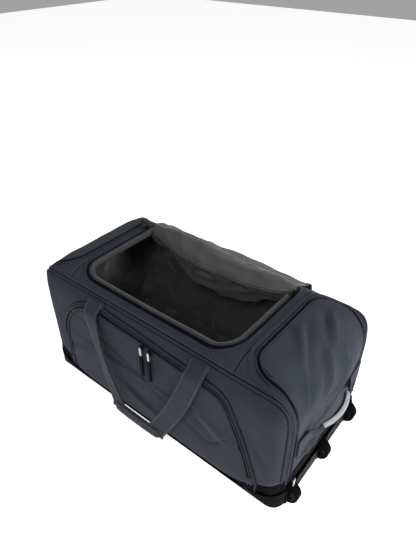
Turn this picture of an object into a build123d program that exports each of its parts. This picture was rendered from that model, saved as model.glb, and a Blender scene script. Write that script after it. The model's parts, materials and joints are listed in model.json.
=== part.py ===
from build123d import *
import os
from math import cos, radians, sin, sqrt, tan

os.makedirs("parts", exist_ok=True)

# Rolling duffel bag, millimetres. The origin is on the floor, under the middle of
# the bag. +X points to the wheeled end, -Y to the pocket side and +Z up.

# ---- fabric body
LENGTH = 770.0              # over both end panels
WIDTH = 390.0               # over the front and back panels, without the pocket
HEIGHT = 362.0              # floor to the top panel
BASE_Z = 8.0                # underside of the fabric base above the floor
SHOULDER_R = 90.0           # rounding between the top and the long sides
PLAN_R = 50.0               # upright corners
RIGHT_TOP_R = 110.0         # rounding between the top and the wheeled end
LEFT_TOP_R = 80.0           # rounding between the top and the other end
BASE_EDGE_R = 14.0          # rounding round the foot
PANEL_T = 3.0               # padded fabric panels
LINING_T = 1.0
CLEARANCE = 0.3             # gap between trim and the panel under it

# ---- panel seams
SIDE_SEAM_Y = 174.0         # plane of the front and back panel seams
RIGHT_SEAM_X = 235.0        # top panel to the gusset at the wheeled end
LEFT_SEAM_X = -278.0        # top panel to the gusset at the other end
RIGHT_ARCH_X = 256.0        # top of the end zip, wheeled end
LEFT_ARCH_X = -305.0        # top of the end zip, other end
END_ARCH_HALF_Y = 152.0     # half width of the end panels
END_ARCH_R = 55.0           # upper corners of the end panels
END_ARCH_FOOT_Z = 60.0      # lower edge of the end zips
BASE_SIDE_Z = 16.0          # top of the black base panel along the sides
BASE_END_Z = 114.0          # top of the black base panel at the ends
TRAY_SIDE_Z = 13.0          # top of the moulded tray along the sides
TRAY_END_Z = 66.0           # top of the moulded tray at the ends
TRAY_T = 3.0                # wall of the moulded tray
FOOT_SWEEP_L = 175.0        # length over which both lines sweep up to the ends
FOOT_SWEEP_PAST = 12.0      # past the end panels, where they reach their full height

# ---- trim
PIPING_W = 5.0
PIPING_H = 3.0
ZIP_W = 12.0
ZIP_H = 1.5
BINDING_W = 3.0

# ---- mouth and lid
MOUTH_LEFT = -262.0
MOUTH_RIGHT = 205.0
MOUTH_FRONT = -143.0
MOUTH_BACK = 129.0
MOUTH_FRONT_R = 55.0
MOUTH_BACK_R = 8.0
LID_T = 3.0
LID_GAP = 0.5               # closed lid above the zip round the mouth
LID_OVERLAP = 7.0           # closed lid past the front edge of the mouth
LID_SIDE_GAP = 1.5          # lid edge inside the mouth's end edges
LID_SLOPE = 28.0            # degrees below level, inner leaf lying open
LID_HANG = 8.0              # degrees off plumb, outer leaf lying open
LID_REACH = 81.0            # level distance from the hinge to the fold
LID_FOLD_GAP = 2.0          # gap between the leaves at the fold
LID_ZIP_W = 7.0

# ---- front pocket
POCKET_T = 8.0
POCKET_LEFT = -304.0
POCKET_RIGHT = 322.0
POCKET_FOOT_Z = 22.0
POCKET_LEFT_TOP_Z = HEIGHT - 40
POCKET_RIGHT_TOP = (239.0, HEIGHT - 73)
POCKET_WAIST = (300.0, 142.0)
POCKET_KNEE_Z = 62.0
POCKET_ZIP_INSET = 3.0
POCKET_ZIP_FOOT_Z = 70.0
GARAGE_SIZE = 18.0          # fabric tab over each end of the pocket zip

# ---- carry handles
WEBBING_W = 50.0
WEBBING_T = 3.0
STRAP_TOP_LEFT = -165.0     # middle of each strap at its fold
STRAP_TOP_RIGHT = 160.0
GRIP_LEFT = -69.0
GRIP_RIGHT = 76.0
GRIP_Z = 82.0
GRIP_H = 36.0
GRIP_T = 9.0
LOOP_H = 32.0               # folded webbing inside the grip
FOLD_Z = {"front": HEIGHT - 37, "back": HEIGHT - 56}
FOLD_CLEARANCE = 0.4
STRAP_KINK = {"front": (26.0, 24.0), "back": (8.0, 22.0)}    # out and down from the fold
STRAP_HANG = {"front": 7.6, "back": 0.0}                     # degrees off plumb below it
ANCHOR_H = 14.0
ANCHOR_ABOVE = 1.0          # anchor past the fold line

# ---- end grab handles
GRAB_Z = 188.0
GRAB_HALF_SPAN = 62.0
GRAB_STANDOFF = 11.0        # grip axis to the end panel, at its ends
GRAB_BULGE = 14.0           # further out in the middle
GRAB_R = 7.0
TAB_H_OUTER = 56.0
TAB_H_INNER = 20.0
TAB_END_Y = END_ARCH_HALF_Y - ZIP_W / 2 - 1
KNUCKLE_W = 8.0
KNUCKLE_GAP = 1.0

# ---- wheels
WHEEL_R = 32.0
WHEEL_W = 22.0
WHEEL_PROUD = 23.0          # tread past the end panel
WHEEL_Y = 142.0             # outer wheels from the middle
TYRE_T = 7.0
AXLE_R = 3.0
AXLE_HEAD_R = 5.5
AXLE_HEAD_T = 2.5
AXLE_FIT = 0.05
BEARING_R = 8.0
BEARING_W = 6.0
HUB_BORE_R = 4.5
WHEEL_GAP = 3.0
CHEEK_T = 6.0
ROOF_T = 3.5
HOUSING_REACH = 12.0        # cheek past the axle

# ---- skids, base board and rivets
SKID_YS = (-108.0, 0.0, 108.0)
SKID_W = 26.0
SKID_LEFT = -345.0
SKID_RIGHT = 318.0
BOARD_T = 3.0
RIVET_R = 2.0
RIVET_HEAD_R = 6.0
RIVET_HEAD_T = 1.8
RIVET_FIT = 0.1
RIVET_XS = (-290.0, -90.0, 110.0, 290.0)
RIVET_Y = 60.0

# ---- zip sliders and pulls
SLIDER_L = 13.0
SLIDER_W = 10.0
SLIDER_H = 5.0
PULL_T = 1.6
PULL_W = 6.0
PULL_GAP = 0.6
POCKET_PULL_GAP = 2.0
SMALL_PULL_L = 22.0
LINK_L = 24.0
RUBBER_L = 62.0
RUBBER_W = 9.0
RUBBER_T = 4.0
MAIN_SLIDER_Y = 100.0
POCKET_SLIDER_XS = {"left": 8.0, "right": 33.0}
END_SLIDER_ZS = {"left": 235.0, "right": 100.0}

# ---- worked out from the sizes above
HALF_L = LENGTH / 2
HALF_W = WIDTH / 2
INNER = PANEL_T + LINING_T
AXLE_X = HALF_L + WHEEL_PROUD - WHEEL_R
AXLE_Z = WHEEL_R
WHEEL_YS = {"front": -WHEEL_Y, "centre": 0.0, "back": WHEEL_Y}
WELL_HALF_W = WHEEL_W / 2 + WHEEL_GAP
HOUSING_HALF_W = WELL_HALF_W + CHEEK_T
HOUSING_LEFT = AXLE_X - WHEEL_R - WHEEL_GAP - ROOF_T
HOUSING_RIGHT = AXLE_X + HOUSING_REACH
HOUSING_TOP = 2 * WHEEL_R + WHEEL_GAP + ROOF_T
LID_Z = HEIGHT + ZIP_H + LID_GAP + LID_T / 2
LID_FOLD_Y = MOUTH_BACK + LID_REACH
LID_FOLD_Z = LID_Z - LID_REACH * tan(radians(LID_SLOPE))
LID_INNER_L = LID_REACH / cos(radians(LID_SLOPE))
LID_OUTER_L = MOUTH_BACK - MOUTH_FRONT + LID_OVERLAP - LID_INNER_L
FAR = 2 * LENGTH


def bag_form(inset):
    """Solid bag shape with every face moved in by inset; a negative inset grows it."""
    half_l = HALF_L - inset
    half_w = HALF_W - inset
    top = HEIGHT - inset
    foot = BASE_Z + inset
    foot_r = BASE_EDGE_R - inset
    with BuildPart() as form:
        with BuildSketch(Plane.XZ):
            with BuildLine():
                FilletPolyline(
                    (-half_l, foot), (-half_l, top), (half_l, top), (half_l, foot),
                    radius=[foot_r, LEFT_TOP_R - inset, RIGHT_TOP_R - inset, foot_r],
                    close=True,
                )
            make_face()
        extrude(amount=half_w, both=True)
        with BuildSketch(Plane.YZ):
            with BuildLine():
                FilletPolyline(
                    (-half_w, foot), (-half_w, top), (half_w, top), (half_w, foot),
                    radius=[foot_r, SHOULDER_R - inset, SHOULDER_R - inset, foot_r],
                    close=True,
                )
            make_face()
        extrude(amount=half_l, both=True, mode=Mode.INTERSECT)
        with BuildSketch(Plane.XY.offset(foot)):
            RectangleRounded(2 * half_l, 2 * half_w, PLAN_R - inset)
        extrude(amount=top - foot, mode=Mode.INTERSECT)
    return form.part


def slab_region(low, high):
    """Box between two corners."""
    size = [b - a for a, b in zip(low, high)]
    with BuildPart() as region:
        with Locations(low):
            Box(*size, align=(Align.MIN, Align.MIN, Align.MIN))
    return region.part


def foot_region(side_z, end_z):
    """Everything under a line that is low along the sides and sweeps up at both ends."""
    run = HALF_L - FOOT_SWEEP_L
    reach = HALF_L + FOOT_SWEEP_PAST
    middle = (HALF_L - FOOT_SWEEP_L / 2, side_z + 0.3 * (end_z - side_z))
    with BuildPart() as region:
        with BuildSketch(Plane.XZ):
            with BuildLine():
                Line((-run, side_z), (run, side_z))
                ThreePointArc((run, side_z), middle, (reach, end_z))
                Polyline((reach, end_z), (reach, -HEIGHT), (-reach, -HEIGHT), (-reach, end_z))
                ThreePointArc((-reach, end_z), (-middle[0], middle[1]), (-run, side_z))
            make_face()
        extrude(amount=WIDTH, both=True)
    return region.part


def end_region(side, grow=0.0):
    """Arch-topped prism that cuts an end panel out of the form along a sloping line."""
    arch_x = abs(RIGHT_ARCH_X if side > 0 else LEFT_ARCH_X)
    high = (HEIGHT - arch_x) / sqrt(2) + grow
    low = (END_ARCH_FOOT_Z - HALF_L) / sqrt(2) - grow
    half = END_ARCH_HALF_Y + grow
    plane = Plane(origin=(0, 0, 0), x_dir=(0, side, 0), z_dir=(side, 0, 1))
    with BuildPart() as region:
        with BuildSketch(plane):
            with BuildLine():
                FilletPolyline(
                    (-half, low), (-half, high), (half, high), (half, low),
                    radius=[10 + grow, END_ARCH_R + grow, END_ARCH_R + grow, 10 + grow],
                    close=True,
                )
            make_face()
        extrude(amount=FAR / 2)
    return region.part


def mouth_region(grow=0.0):
    """Upright prism over the mouth of the bag."""
    left = MOUTH_LEFT - grow
    right = MOUTH_RIGHT + grow
    front_y = MOUTH_FRONT - grow
    back_y = MOUTH_BACK + grow
    front_r = MOUTH_FRONT_R + grow
    back_r = MOUTH_BACK_R + grow
    with BuildPart() as region:
        with BuildSketch(Plane.XY.offset(HEIGHT / 2)):
            with BuildLine():
                FilletPolyline(
                    (left, front_y), (right, front_y), (right, back_y), (left, back_y),
                    radius=[front_r, front_r, back_r, back_r], close=True,
                )
            make_face()
        extrude(amount=HEIGHT)
    return region.part


def pocket_region(inset=0.0):
    """Prism through the front panel with the outline of the front pocket."""
    with BuildPart() as region:
        with BuildSketch(Plane.XZ):
            with BuildLine():
                FilletPolyline(
                    (POCKET_LEFT, POCKET_FOOT_Z), (POCKET_LEFT, POCKET_LEFT_TOP_Z), POCKET_RIGHT_TOP,
                    POCKET_WAIST, (POCKET_RIGHT, POCKET_KNEE_Z), (POCKET_RIGHT, POCKET_FOOT_Z),
                    radius=[6, 150, 50, 120, 20, 6],
                    close=True,
                )
            make_face()
            if inset:
                offset(amount=-inset, mode=Mode.REPLACE)
        extrude(amount=WIDTH)
    return region.part


def wheel_well_region(grow=0.0):
    """Three boxes where the wheel housings stand, from the floor up."""
    with BuildPart() as region:
        for y in WHEEL_YS.values():
            with BuildSketch(Plane.XY.offset(-1)):
                with Locations(((HOUSING_LEFT - grow + FAR / 2) / 2, y)):
                    Rectangle(FAR / 2 - HOUSING_LEFT + grow, 2 * (HOUSING_HALF_W + grow))
            extrude(amount=HOUSING_TOP + grow + 1)
    return region.part


def rivet_holes(radius):
    """Upright pins at every rivet of the base."""
    with BuildPart() as pins:
        with BuildSketch(Plane.XY.offset(-1)):
            with Locations([(x, side * RIVET_Y) for x in RIVET_XS for side in (-1, 1)]):
                Circle(radius)
        extrude(amount=40)
    return pins.part


def skin(outer, inner, keep=(), cut=()):
    """Shell between two insets of the form, kept inside some regions and cut by others."""
    with BuildPart() as piece:
        add(outer)
        add(inner, mode=Mode.SUBTRACT)
        for region in keep:
            add(region, mode=Mode.INTERSECT)
        for region in cut:
            add(region, mode=Mode.SUBTRACT)
    return piece.part


def write(piece, name):
    """Label a finished piece and write it to its own file."""
    piece.label = name
    export_step(piece, f"parts/{name}.step")


form = bag_form(0)
form_in = bag_form(PANEL_T)
form_lined = bag_form(INNER)
form_gap = bag_form(-CLEARANCE)
form_zip = bag_form(-CLEARANCE - ZIP_H)
form_piping = bag_form(-PIPING_H)
wells = wheel_well_region(CLEARANCE)
holes = rivet_holes(RIVET_R + RIVET_FIT)
foot = foot_region(BASE_SIDE_Z, BASE_END_Z)
ends = {"left": end_region(-1), "right": end_region(1)}
front_side = slab_region((-FAR, -FAR, -FAR), (FAR, -SIDE_SEAM_Y, FAR))
back_side = slab_region((-FAR, SIDE_SEAM_Y, -FAR), (FAR, FAR, FAR))
top_middle = slab_region((LEFT_SEAM_X, -FAR, HEIGHT / 2), (RIGHT_SEAM_X, FAR, FAR))
halves = {
    "left": slab_region((-FAR, -FAR, -FAR), (0, FAR, FAR)),
    "right": slab_region((0, -FAR, -FAR), (FAR, FAR, FAR)),
}

# ---- fabric panels: the form's skin, divided along the seams
base_panel = skin(form, form_in, keep=[foot], cut=[wells, holes])
write(base_panel, "base_panel")
for name, half in halves.items():
    panel = skin(form, form_in, keep=[ends[name], half], cut=[foot, wells])
    write(panel, f"{name}_end_panel")
for name, side in {"front": front_side, "back": back_side}.items():
    panel = skin(form, form_in, keep=[side], cut=[foot, wells, ends["left"], ends["right"]])
    write(panel, f"{name}_panel")
panel = skin(form, form_in, keep=[top_middle], cut=[front_side, back_side, mouth_region()])
write(panel, "top_panel")
for name, half in halves.items():
    panel = skin(
        form, form_in, keep=[half],
        cut=[foot, wells, front_side, back_side, top_middle, ends[name]],
    )
    write(panel, f"{name}_gusset")

# ---- lining, base board and moulded base tray
lining = skin(form_in, form_lined, cut=[mouth_region(), wells, holes])
write(lining, "lining")
board_top = slab_region((-FAR, -FAR, -FAR), (FAR, FAR, BASE_Z + INNER + BOARD_T))
with BuildPart() as base_board:
    add(form_lined)
    add(board_top, mode=Mode.INTERSECT)
    add(wells, mode=Mode.SUBTRACT)
    add(holes, mode=Mode.SUBTRACT)
write(base_board.part, "base_board")
tray = skin(bag_form(-TRAY_T), form, keep=[foot_region(TRAY_SIDE_Z, TRAY_END_Z)], cut=[wells, holes])
write(tray, "base_tray")

# ---- skid rails and rivets under the tray
SKID_TOP = BASE_Z - TRAY_T
with BuildPart() as skid_rails:
    with BuildSketch(Plane.XY):
        with Locations([((SKID_LEFT + SKID_RIGHT) / 2, y) for y in SKID_YS]):
            SlotOverall(SKID_RIGHT - SKID_LEFT, SKID_W)
    extrude(amount=SKID_TOP)
    chamfer(skid_rails.edges().group_by(Axis.Z)[0], 1.5)
write(skid_rails.part, "skid_rails")
with BuildPart() as base_rivets:
    with BuildSketch(Plane.XY.offset(SKID_TOP - RIVET_HEAD_T)):
        with Locations([(x, side * RIVET_Y) for x in RIVET_XS for side in (-1, 1)]):
            Circle(RIVET_HEAD_R)
    extrude(amount=RIVET_HEAD_T)
    with BuildSketch(Plane.XY.offset(SKID_TOP)):
        with Locations([(x, side * RIVET_Y) for x in RIVET_XS for side in (-1, 1)]):
            Circle(RIVET_R)
    extrude(amount=TRAY_T + INNER + BOARD_T)
    with BuildSketch(Plane.XY.offset(BASE_Z + INNER + BOARD_T)):
        with Locations([(x, side * RIVET_Y) for x in RIVET_XS for side in (-1, 1)]):
            Circle(RIVET_HEAD_R)
    extrude(amount=RIVET_HEAD_T)
write(base_rivets.part, "base_rivets")

# ---- front pocket, its zip and the tabs over the zip's ends
form_pocket = bag_form(-POCKET_T)
form_pocket_gap = bag_form(-POCKET_T - CLEARANCE)
form_pocket_zip = bag_form(-POCKET_T - CLEARANCE - ZIP_H)
front_half = slab_region((-FAR, -FAR, -FAR), (FAR, 0, FAR))
tray_zone = foot_region(TRAY_SIDE_Z + CLEARANCE, TRAY_END_Z + CLEARANCE)
front_pocket = skin(form_pocket, form_gap, keep=[pocket_region(), front_half], cut=[tray_zone])
write(front_pocket, "front_pocket")
above_zip_foot = slab_region((-FAR, -FAR, POCKET_ZIP_FOOT_Z), (FAR, 0, FAR))
pocket_zip = skin(
    form_pocket_zip, form_pocket_gap,
    keep=[pocket_region(POCKET_ZIP_INSET), above_zip_foot],
    cut=[pocket_region(POCKET_ZIP_INSET + ZIP_W)],
)
write(pocket_zip, "front_pocket_zip")
garage_band = slab_region(
    (-FAR, -FAR, POCKET_ZIP_FOOT_Z - CLEARANCE - GARAGE_SIZE), (FAR, 0, POCKET_ZIP_FOOT_Z - CLEARANCE),
)
garages = skin(
    form_pocket_zip, form_pocket_gap,
    keep=[pocket_region(POCKET_ZIP_INSET - 1), garage_band],
    cut=[pocket_region(POCKET_ZIP_INSET + ZIP_W + 2)],
)
write(garages, "zip_garages")

# ---- piping along the front and back seams, and the end zips
for name, side in {"front": -1, "back": 1}.items():
    seam = sorted((side * (SIDE_SEAM_Y - PIPING_W / 2), side * (SIDE_SEAM_Y + PIPING_W / 2)))
    band = slab_region((-FAR, seam[0], -FAR), (FAR, seam[1], FAR))
    piping = skin(form_piping, form_gap, keep=[band], cut=[foot, wells])
    write(piping, f"{name}_piping")
for name, side in {"left": -1, "right": 1}.items():
    tape = skin(
        form_zip, form_gap,
        keep=[end_region(side, ZIP_W / 2), halves[name]],
        cut=[end_region(side, -ZIP_W / 2), foot_region(TRAY_SIDE_Z, TRAY_END_Z + 20), wells],
    )
    write(tape, f"{name}_end_zip")

# ---- zip and binding round the mouth
top_half = slab_region((-FAR, -FAR, HEIGHT / 2), (FAR, FAR, FAR))
rim_zip = skin(form_zip, form_gap, keep=[mouth_region(ZIP_W), top_half], cut=[mouth_region(CLEARANCE)])
write(rim_zip, "mouth_zip")
binding = skin(form_zip, form_lined, keep=[mouth_region(), top_half], cut=[mouth_region(-BINDING_W)])
write(binding, "mouth_binding")

# ---- wheel housings, axles and wheels
with BuildPart() as housings:
    for y in WHEEL_YS.values():
        with BuildSketch(Plane.XZ.offset(-y)):
            with BuildLine():
                FilletPolyline(
                    (HOUSING_LEFT, SKID_TOP), (HOUSING_LEFT, HOUSING_TOP),
                    (HOUSING_RIGHT, HOUSING_TOP), (HOUSING_RIGHT, SKID_TOP),
                    radius=[1, 16, 22, 10], close=True,
                )
            make_face()
        extrude(amount=HOUSING_HALF_W, both=True)
    for y in WHEEL_YS.values():
        with BuildSketch(Plane.XZ.offset(-y)):
            with Locations((AXLE_X, AXLE_Z)):
                Circle(WHEEL_R + WHEEL_GAP)
            with Locations((AXLE_X + WHEEL_R, AXLE_Z)):
                Rectangle(2 * WHEEL_R, 2 * (WHEEL_R + WHEEL_GAP))
            with Locations((AXLE_X, AXLE_Z - WHEEL_R)):
                Rectangle(2 * (WHEEL_R + WHEEL_GAP), 2 * WHEEL_R)
        extrude(amount=WELL_HALF_W, both=True, mode=Mode.SUBTRACT)
        with BuildSketch(Plane.XZ.offset(-y)):
            with Locations((AXLE_X, AXLE_Z)):
                Circle(AXLE_R + AXLE_FIT)
        extrude(amount=HOUSING_HALF_W, both=True, mode=Mode.SUBTRACT)
        for side in (-1, 1):
            with BuildSketch(Plane.XZ.offset(-y + side * (HOUSING_HALF_W - AXLE_HEAD_T / 2))):
                with Locations((AXLE_X, AXLE_Z)):
                    Circle(AXLE_HEAD_R + AXLE_FIT)
            extrude(amount=AXLE_HEAD_T / 2, both=True, mode=Mode.SUBTRACT)
write(housings.part, "wheel_housings")
with BuildPart() as axles:
    for y in WHEEL_YS.values():
        with BuildSketch(Plane.XZ.offset(-y)):
            with Locations((AXLE_X, AXLE_Z)):
                Circle(AXLE_R)
        extrude(amount=HOUSING_HALF_W, both=True)
        for side in (-1, 1):
            with BuildSketch(Plane.XZ.offset(-y + side * (HOUSING_HALF_W - AXLE_HEAD_T / 2))):
                with Locations((AXLE_X, AXLE_Z)):
                    Circle(AXLE_HEAD_R)
            extrude(amount=AXLE_HEAD_T / 2, both=True)
write(axles.part, "wheel_axles")

for name, y in WHEEL_YS.items():
    across = Plane(origin=(AXLE_X, y, AXLE_Z), x_dir=(1, 0, 0), z_dir=(0, -1, 0))
    hub_r = WHEEL_R - TYRE_T
    with BuildPart() as tyre:
        with BuildSketch(across):
            Circle(WHEEL_R)
            Circle(hub_r, mode=Mode.SUBTRACT)
        extrude(amount=WHEEL_W / 2, both=True)
        fillet(tyre.edges().filter_by(GeomType.CIRCLE).sort_by(SortBy.RADIUS)[-2:], 3)
    write(tyre.part, f"{name}_wheel_tyre")
    with BuildPart() as hub:
        with BuildSketch(across):
            Circle(hub_r)
        extrude(amount=WHEEL_W / 2 - 1, both=True)
        for side in (-1, 1):
            with BuildSketch(across.offset(side * (WHEEL_W / 2 - 1))):
                Circle(hub_r - 4)
                Circle(BEARING_R + 3, mode=Mode.SUBTRACT)
            extrude(amount=-side * 3, mode=Mode.SUBTRACT)
            with BuildSketch(across.offset(side * (WHEEL_W / 2 - 1))):
                Circle(BEARING_R)
            extrude(amount=-side * BEARING_W, mode=Mode.SUBTRACT)
        with BuildSketch(across):
            Circle(HUB_BORE_R)
        extrude(amount=WHEEL_W / 2, both=True, mode=Mode.SUBTRACT)
    write(hub.part, f"{name}_wheel_hub")
    with BuildPart() as bearings:
        for side in (-1, 1):
            with BuildSketch(across.offset(side * (WHEEL_W / 2 - 1 - BEARING_W / 2))):
                Circle(BEARING_R)
                Circle(AXLE_R + AXLE_FIT, mode=Mode.SUBTRACT)
            extrude(amount=BEARING_W / 2, both=True)
    write(bearings.part, f"{name}_wheel_bearings")


# ---- carry handles: sewn anchors, a webbing loop on each side and its grip
def fold_point(name):
    """Y and Z of the line that a strap turns on, just clear of its anchor."""
    z = FOLD_Z[name]
    reach = SHOULDER_R + CLEARANCE + WEBBING_T
    rise = z - (HEIGHT - SHOULDER_R)
    run = sqrt(reach**2 - rise**2)
    scale = (reach + FOLD_CLEARANCE + WEBBING_T / 2) / reach
    return HALF_W - SHOULDER_R + run * scale, HEIGHT - SHOULDER_R + rise * scale


form_webbing = bag_form(-CLEARANCE - WEBBING_T)
pocket_block = skin(form_pocket, form_gap, keep=[pocket_region(-CLEARANCE), front_half])
for name, side in {"front": -1, "back": 1}.items():
    fold_y, fold_z = fold_point(name)
    with BuildPart() as anchors:
        for x in (STRAP_TOP_LEFT, STRAP_TOP_RIGHT):
            with BuildSketch(Plane.XZ):
                with Locations((x, FOLD_Z[name] + ANCHOR_ABOVE - ANCHOR_H / 2)):
                    Rectangle(WEBBING_W, ANCHOR_H)
            extrude(amount=-side * WIDTH)
        add(form_webbing, mode=Mode.INTERSECT)
        add(form_gap, mode=Mode.SUBTRACT)
        add(pocket_block, mode=Mode.SUBTRACT)
    write(anchors.part, f"{name}_handle_anchors")
    kink = (fold_y + STRAP_KINK[name][0], fold_z - STRAP_KINK[name][1])
    drop = kink[1] - GRIP_Z + LOOP_H
    tail = (kink[0] + drop * tan(radians(STRAP_HANG[name])), kink[1] - drop)
    grip_y = tail[0] - LOOP_H * tan(radians(STRAP_HANG[name]))
    low, high = GRIP_Z - LOOP_H / 2, GRIP_Z + LOOP_H / 2
    half = WEBBING_W / 2
    with BuildPart() as straps:
        with BuildSketch(Plane.YZ.offset(-HALF_L)):
            with BuildLine() as route:
                FilletPolyline(
                    (side * fold_y, fold_z), (side * kink[0], kink[1]), (side * tail[0], tail[1]),
                    radius=8,
                )
            trace(route.line, line_width=WEBBING_T)
            with Locations((side * fold_y, fold_z)):
                Circle(WEBBING_T / 2)
        extrude(amount=LENGTH)
        with BuildSketch(Plane.XZ):
            for top, end, way in (
                (STRAP_TOP_LEFT, GRIP_LEFT, 1),
                (STRAP_TOP_RIGHT, GRIP_RIGHT, -1),
            ):
                with BuildLine():
                    Polyline(
                        (top - way * half, fold_z + half), (top + way * half, fold_z + half),
                        (top + way * half, fold_z - half), (end + way * half, high),
                        (end + way * half, low), (end - way * LOOP_H / 4, low),
                        (top - way * half, fold_z - half), (top - way * half, fold_z + half),
                    )
                make_face()
            with Locations(((GRIP_LEFT + GRIP_RIGHT) / 2, GRIP_Z)):
                Rectangle(GRIP_RIGHT - GRIP_LEFT, LOOP_H)
        extrude(amount=WIDTH, both=True, mode=Mode.INTERSECT)
    write(straps.part, f"{name}_handle_straps")
    grip_plane = Plane(
        origin=(0, side * grip_y, GRIP_Z), x_dir=(1, 0, 0),
        z_dir=(0, side * cos(radians(STRAP_HANG[name])), sin(radians(STRAP_HANG[name]))),
    )
    with BuildPart() as grip:
        with BuildSketch(grip_plane.offset(-GRIP_T / 2)):
            with Locations(((GRIP_LEFT + GRIP_RIGHT) / 2, 0)):
                RectangleRounded(GRIP_RIGHT - GRIP_LEFT, GRIP_H, 4)
        extrude(amount=GRIP_T)
        add(straps.part, mode=Mode.SUBTRACT)
    write(grip.part, f"{name}_handle_grip")

# ---- lid: an inner leaf over the shoulder, an outer leaf hanging behind, and its zip
LID_LEFT = MOUTH_LEFT + LID_SIDE_GAP
LID_RIGHT = MOUTH_RIGHT - LID_SIDE_GAP
slope = radians(LID_SLOPE)
hang = radians(LID_HANG)
inner_leaf = Plane(origin=(0, MOUTH_BACK, LID_Z), x_dir=(1, 0, 0), z_dir=(0, sin(slope), cos(slope)))
outer_leaf = Plane(origin=(0, LID_FOLD_Y, LID_FOLD_Z), x_dir=(1, 0, 0), z_dir=(0, cos(hang), sin(hang)))
with BuildPart() as lid_inner:
    with BuildSketch(inner_leaf.offset(-LID_T / 2)):
        with Locations(((LID_LEFT + LID_RIGHT) / 2, (LID_INNER_L - LID_FOLD_GAP) / 2)):
            Rectangle(LID_RIGHT - LID_LEFT, LID_INNER_L - LID_FOLD_GAP)
    extrude(amount=LID_T)
    with BuildSketch(Plane.YZ.offset(LID_LEFT)):
        with Locations((MOUTH_BACK, LID_Z)):
            Circle(LID_T / 2)
    extrude(amount=LID_RIGHT - LID_LEFT)
write(lid_inner.part, "lid_inner_leaf")


def outer_leaf_solid(inset, thickness):
    """Outer leaf of the lid, with rounded free corners, moved in by inset on three sides."""
    left = LID_LEFT + inset
    right = LID_RIGHT - inset
    tip = LID_OUTER_L - inset
    corner = MOUTH_FRONT_R - inset
    with BuildPart() as leaf:
        with BuildSketch(outer_leaf.offset(-thickness / 2)):
            with BuildLine():
                FilletPolyline(
                    (left, LID_FOLD_GAP), (left, tip), (right, tip), (right, LID_FOLD_GAP),
                    radius=[0, corner, corner, 0], close=True,
                )
            make_face()
        extrude(amount=thickness)
    return leaf.part


lid_core = outer_leaf_solid(LID_ZIP_W, LID_T)
write(lid_core, "lid_outer_leaf")
with BuildPart() as lid_zip:
    add(outer_leaf_solid(0, ZIP_H))
    add(outer_leaf_solid(LID_ZIP_W, LID_T), mode=Mode.SUBTRACT)
write(lid_zip.part, "lid_zip")

# ---- end grab handles: sewn tabs with knuckles, and a padded grip between them
for name, way in {"left": -1, "right": 1}.items():
    with BuildPart() as tabs:
        for side in (-1, 1):
            with BuildSketch(Plane.YZ):
                with BuildLine():
                    Polyline(
                        (side * GRAB_HALF_SPAN, GRAB_Z - TAB_H_INNER / 2),
                        (side * TAB_END_Y, GRAB_Z - TAB_H_OUTER / 2),
                        (side * TAB_END_Y, GRAB_Z + TAB_H_OUTER / 2),
                        (side * GRAB_HALF_SPAN, GRAB_Z + TAB_H_INNER / 2),
                        close=True,
                    )
                make_face()
            extrude(amount=way * LENGTH)
        add(form_webbing, mode=Mode.INTERSECT)
        for side in (-1, 1):
            with BuildSketch(Plane.YZ.offset(way * HALF_L)):
                with Locations((side * (GRAB_HALF_SPAN + KNUCKLE_W / 2), GRAB_Z)):
                    RectangleRounded(KNUCKLE_W, TAB_H_INNER - 2, 2)
            extrude(amount=way * (GRAB_STANDOFF + GRAB_R))
        add(form_gap, mode=Mode.SUBTRACT)
    write(tabs.part, f"{name}_grab_tabs")
    axis_x = way * (HALF_L + GRAB_STANDOFF)
    span = GRAB_HALF_SPAN + GRAB_R
    with BuildPart() as grab:
        with BuildLine() as route:
            ThreePointArc(
                (axis_x, -span, GRAB_Z), (axis_x + way * GRAB_BULGE, 0, GRAB_Z), (axis_x, span, GRAB_Z),
            )
        with BuildSketch(Plane(origin=route.line @ 0, z_dir=route.line % 0)):
            Circle(GRAB_R)
        sweep(path=route.line)
        reach = GRAB_HALF_SPAN - KNUCKLE_GAP
        add(slab_region((-FAR, -reach, -FAR), (FAR, reach, FAR)), mode=Mode.INTERSECT)
    write(grab.part, f"{name}_grab_grip")


# ---- zip sliders, each with a pull hinged on top of it
def slider_block(plane, across, along):
    """Slider standing on a plane, its sides across and along the plane's own axes."""
    with BuildPart() as block:
        with BuildSketch(plane):
            RectangleRounded(across, along, 2)
        extrude(amount=SLIDER_H)
        chamfer(block.faces().sort_by(Axis(plane.origin, plane.z_dir))[-1].edges(), 1)
    return block.part


def pull_plate(plane, start, length, width, thickness):
    """Plate that lies down the plane from the hinge line, with a round hinge end at 0."""
    with BuildPart() as plate:
        with BuildSketch(plane.offset(-thickness / 2)):
            with Locations((0, -start - length / 2)):
                Rectangle(width, length)
        extrude(amount=thickness)
        if not start:
            eye = Plane(origin=plane.origin, x_dir=plane.y_dir, z_dir=plane.x_dir)
            with BuildSketch(eye.offset(-width / 2)):
                Circle(thickness / 2)
            extrude(amount=width)
    return plate.part


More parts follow.
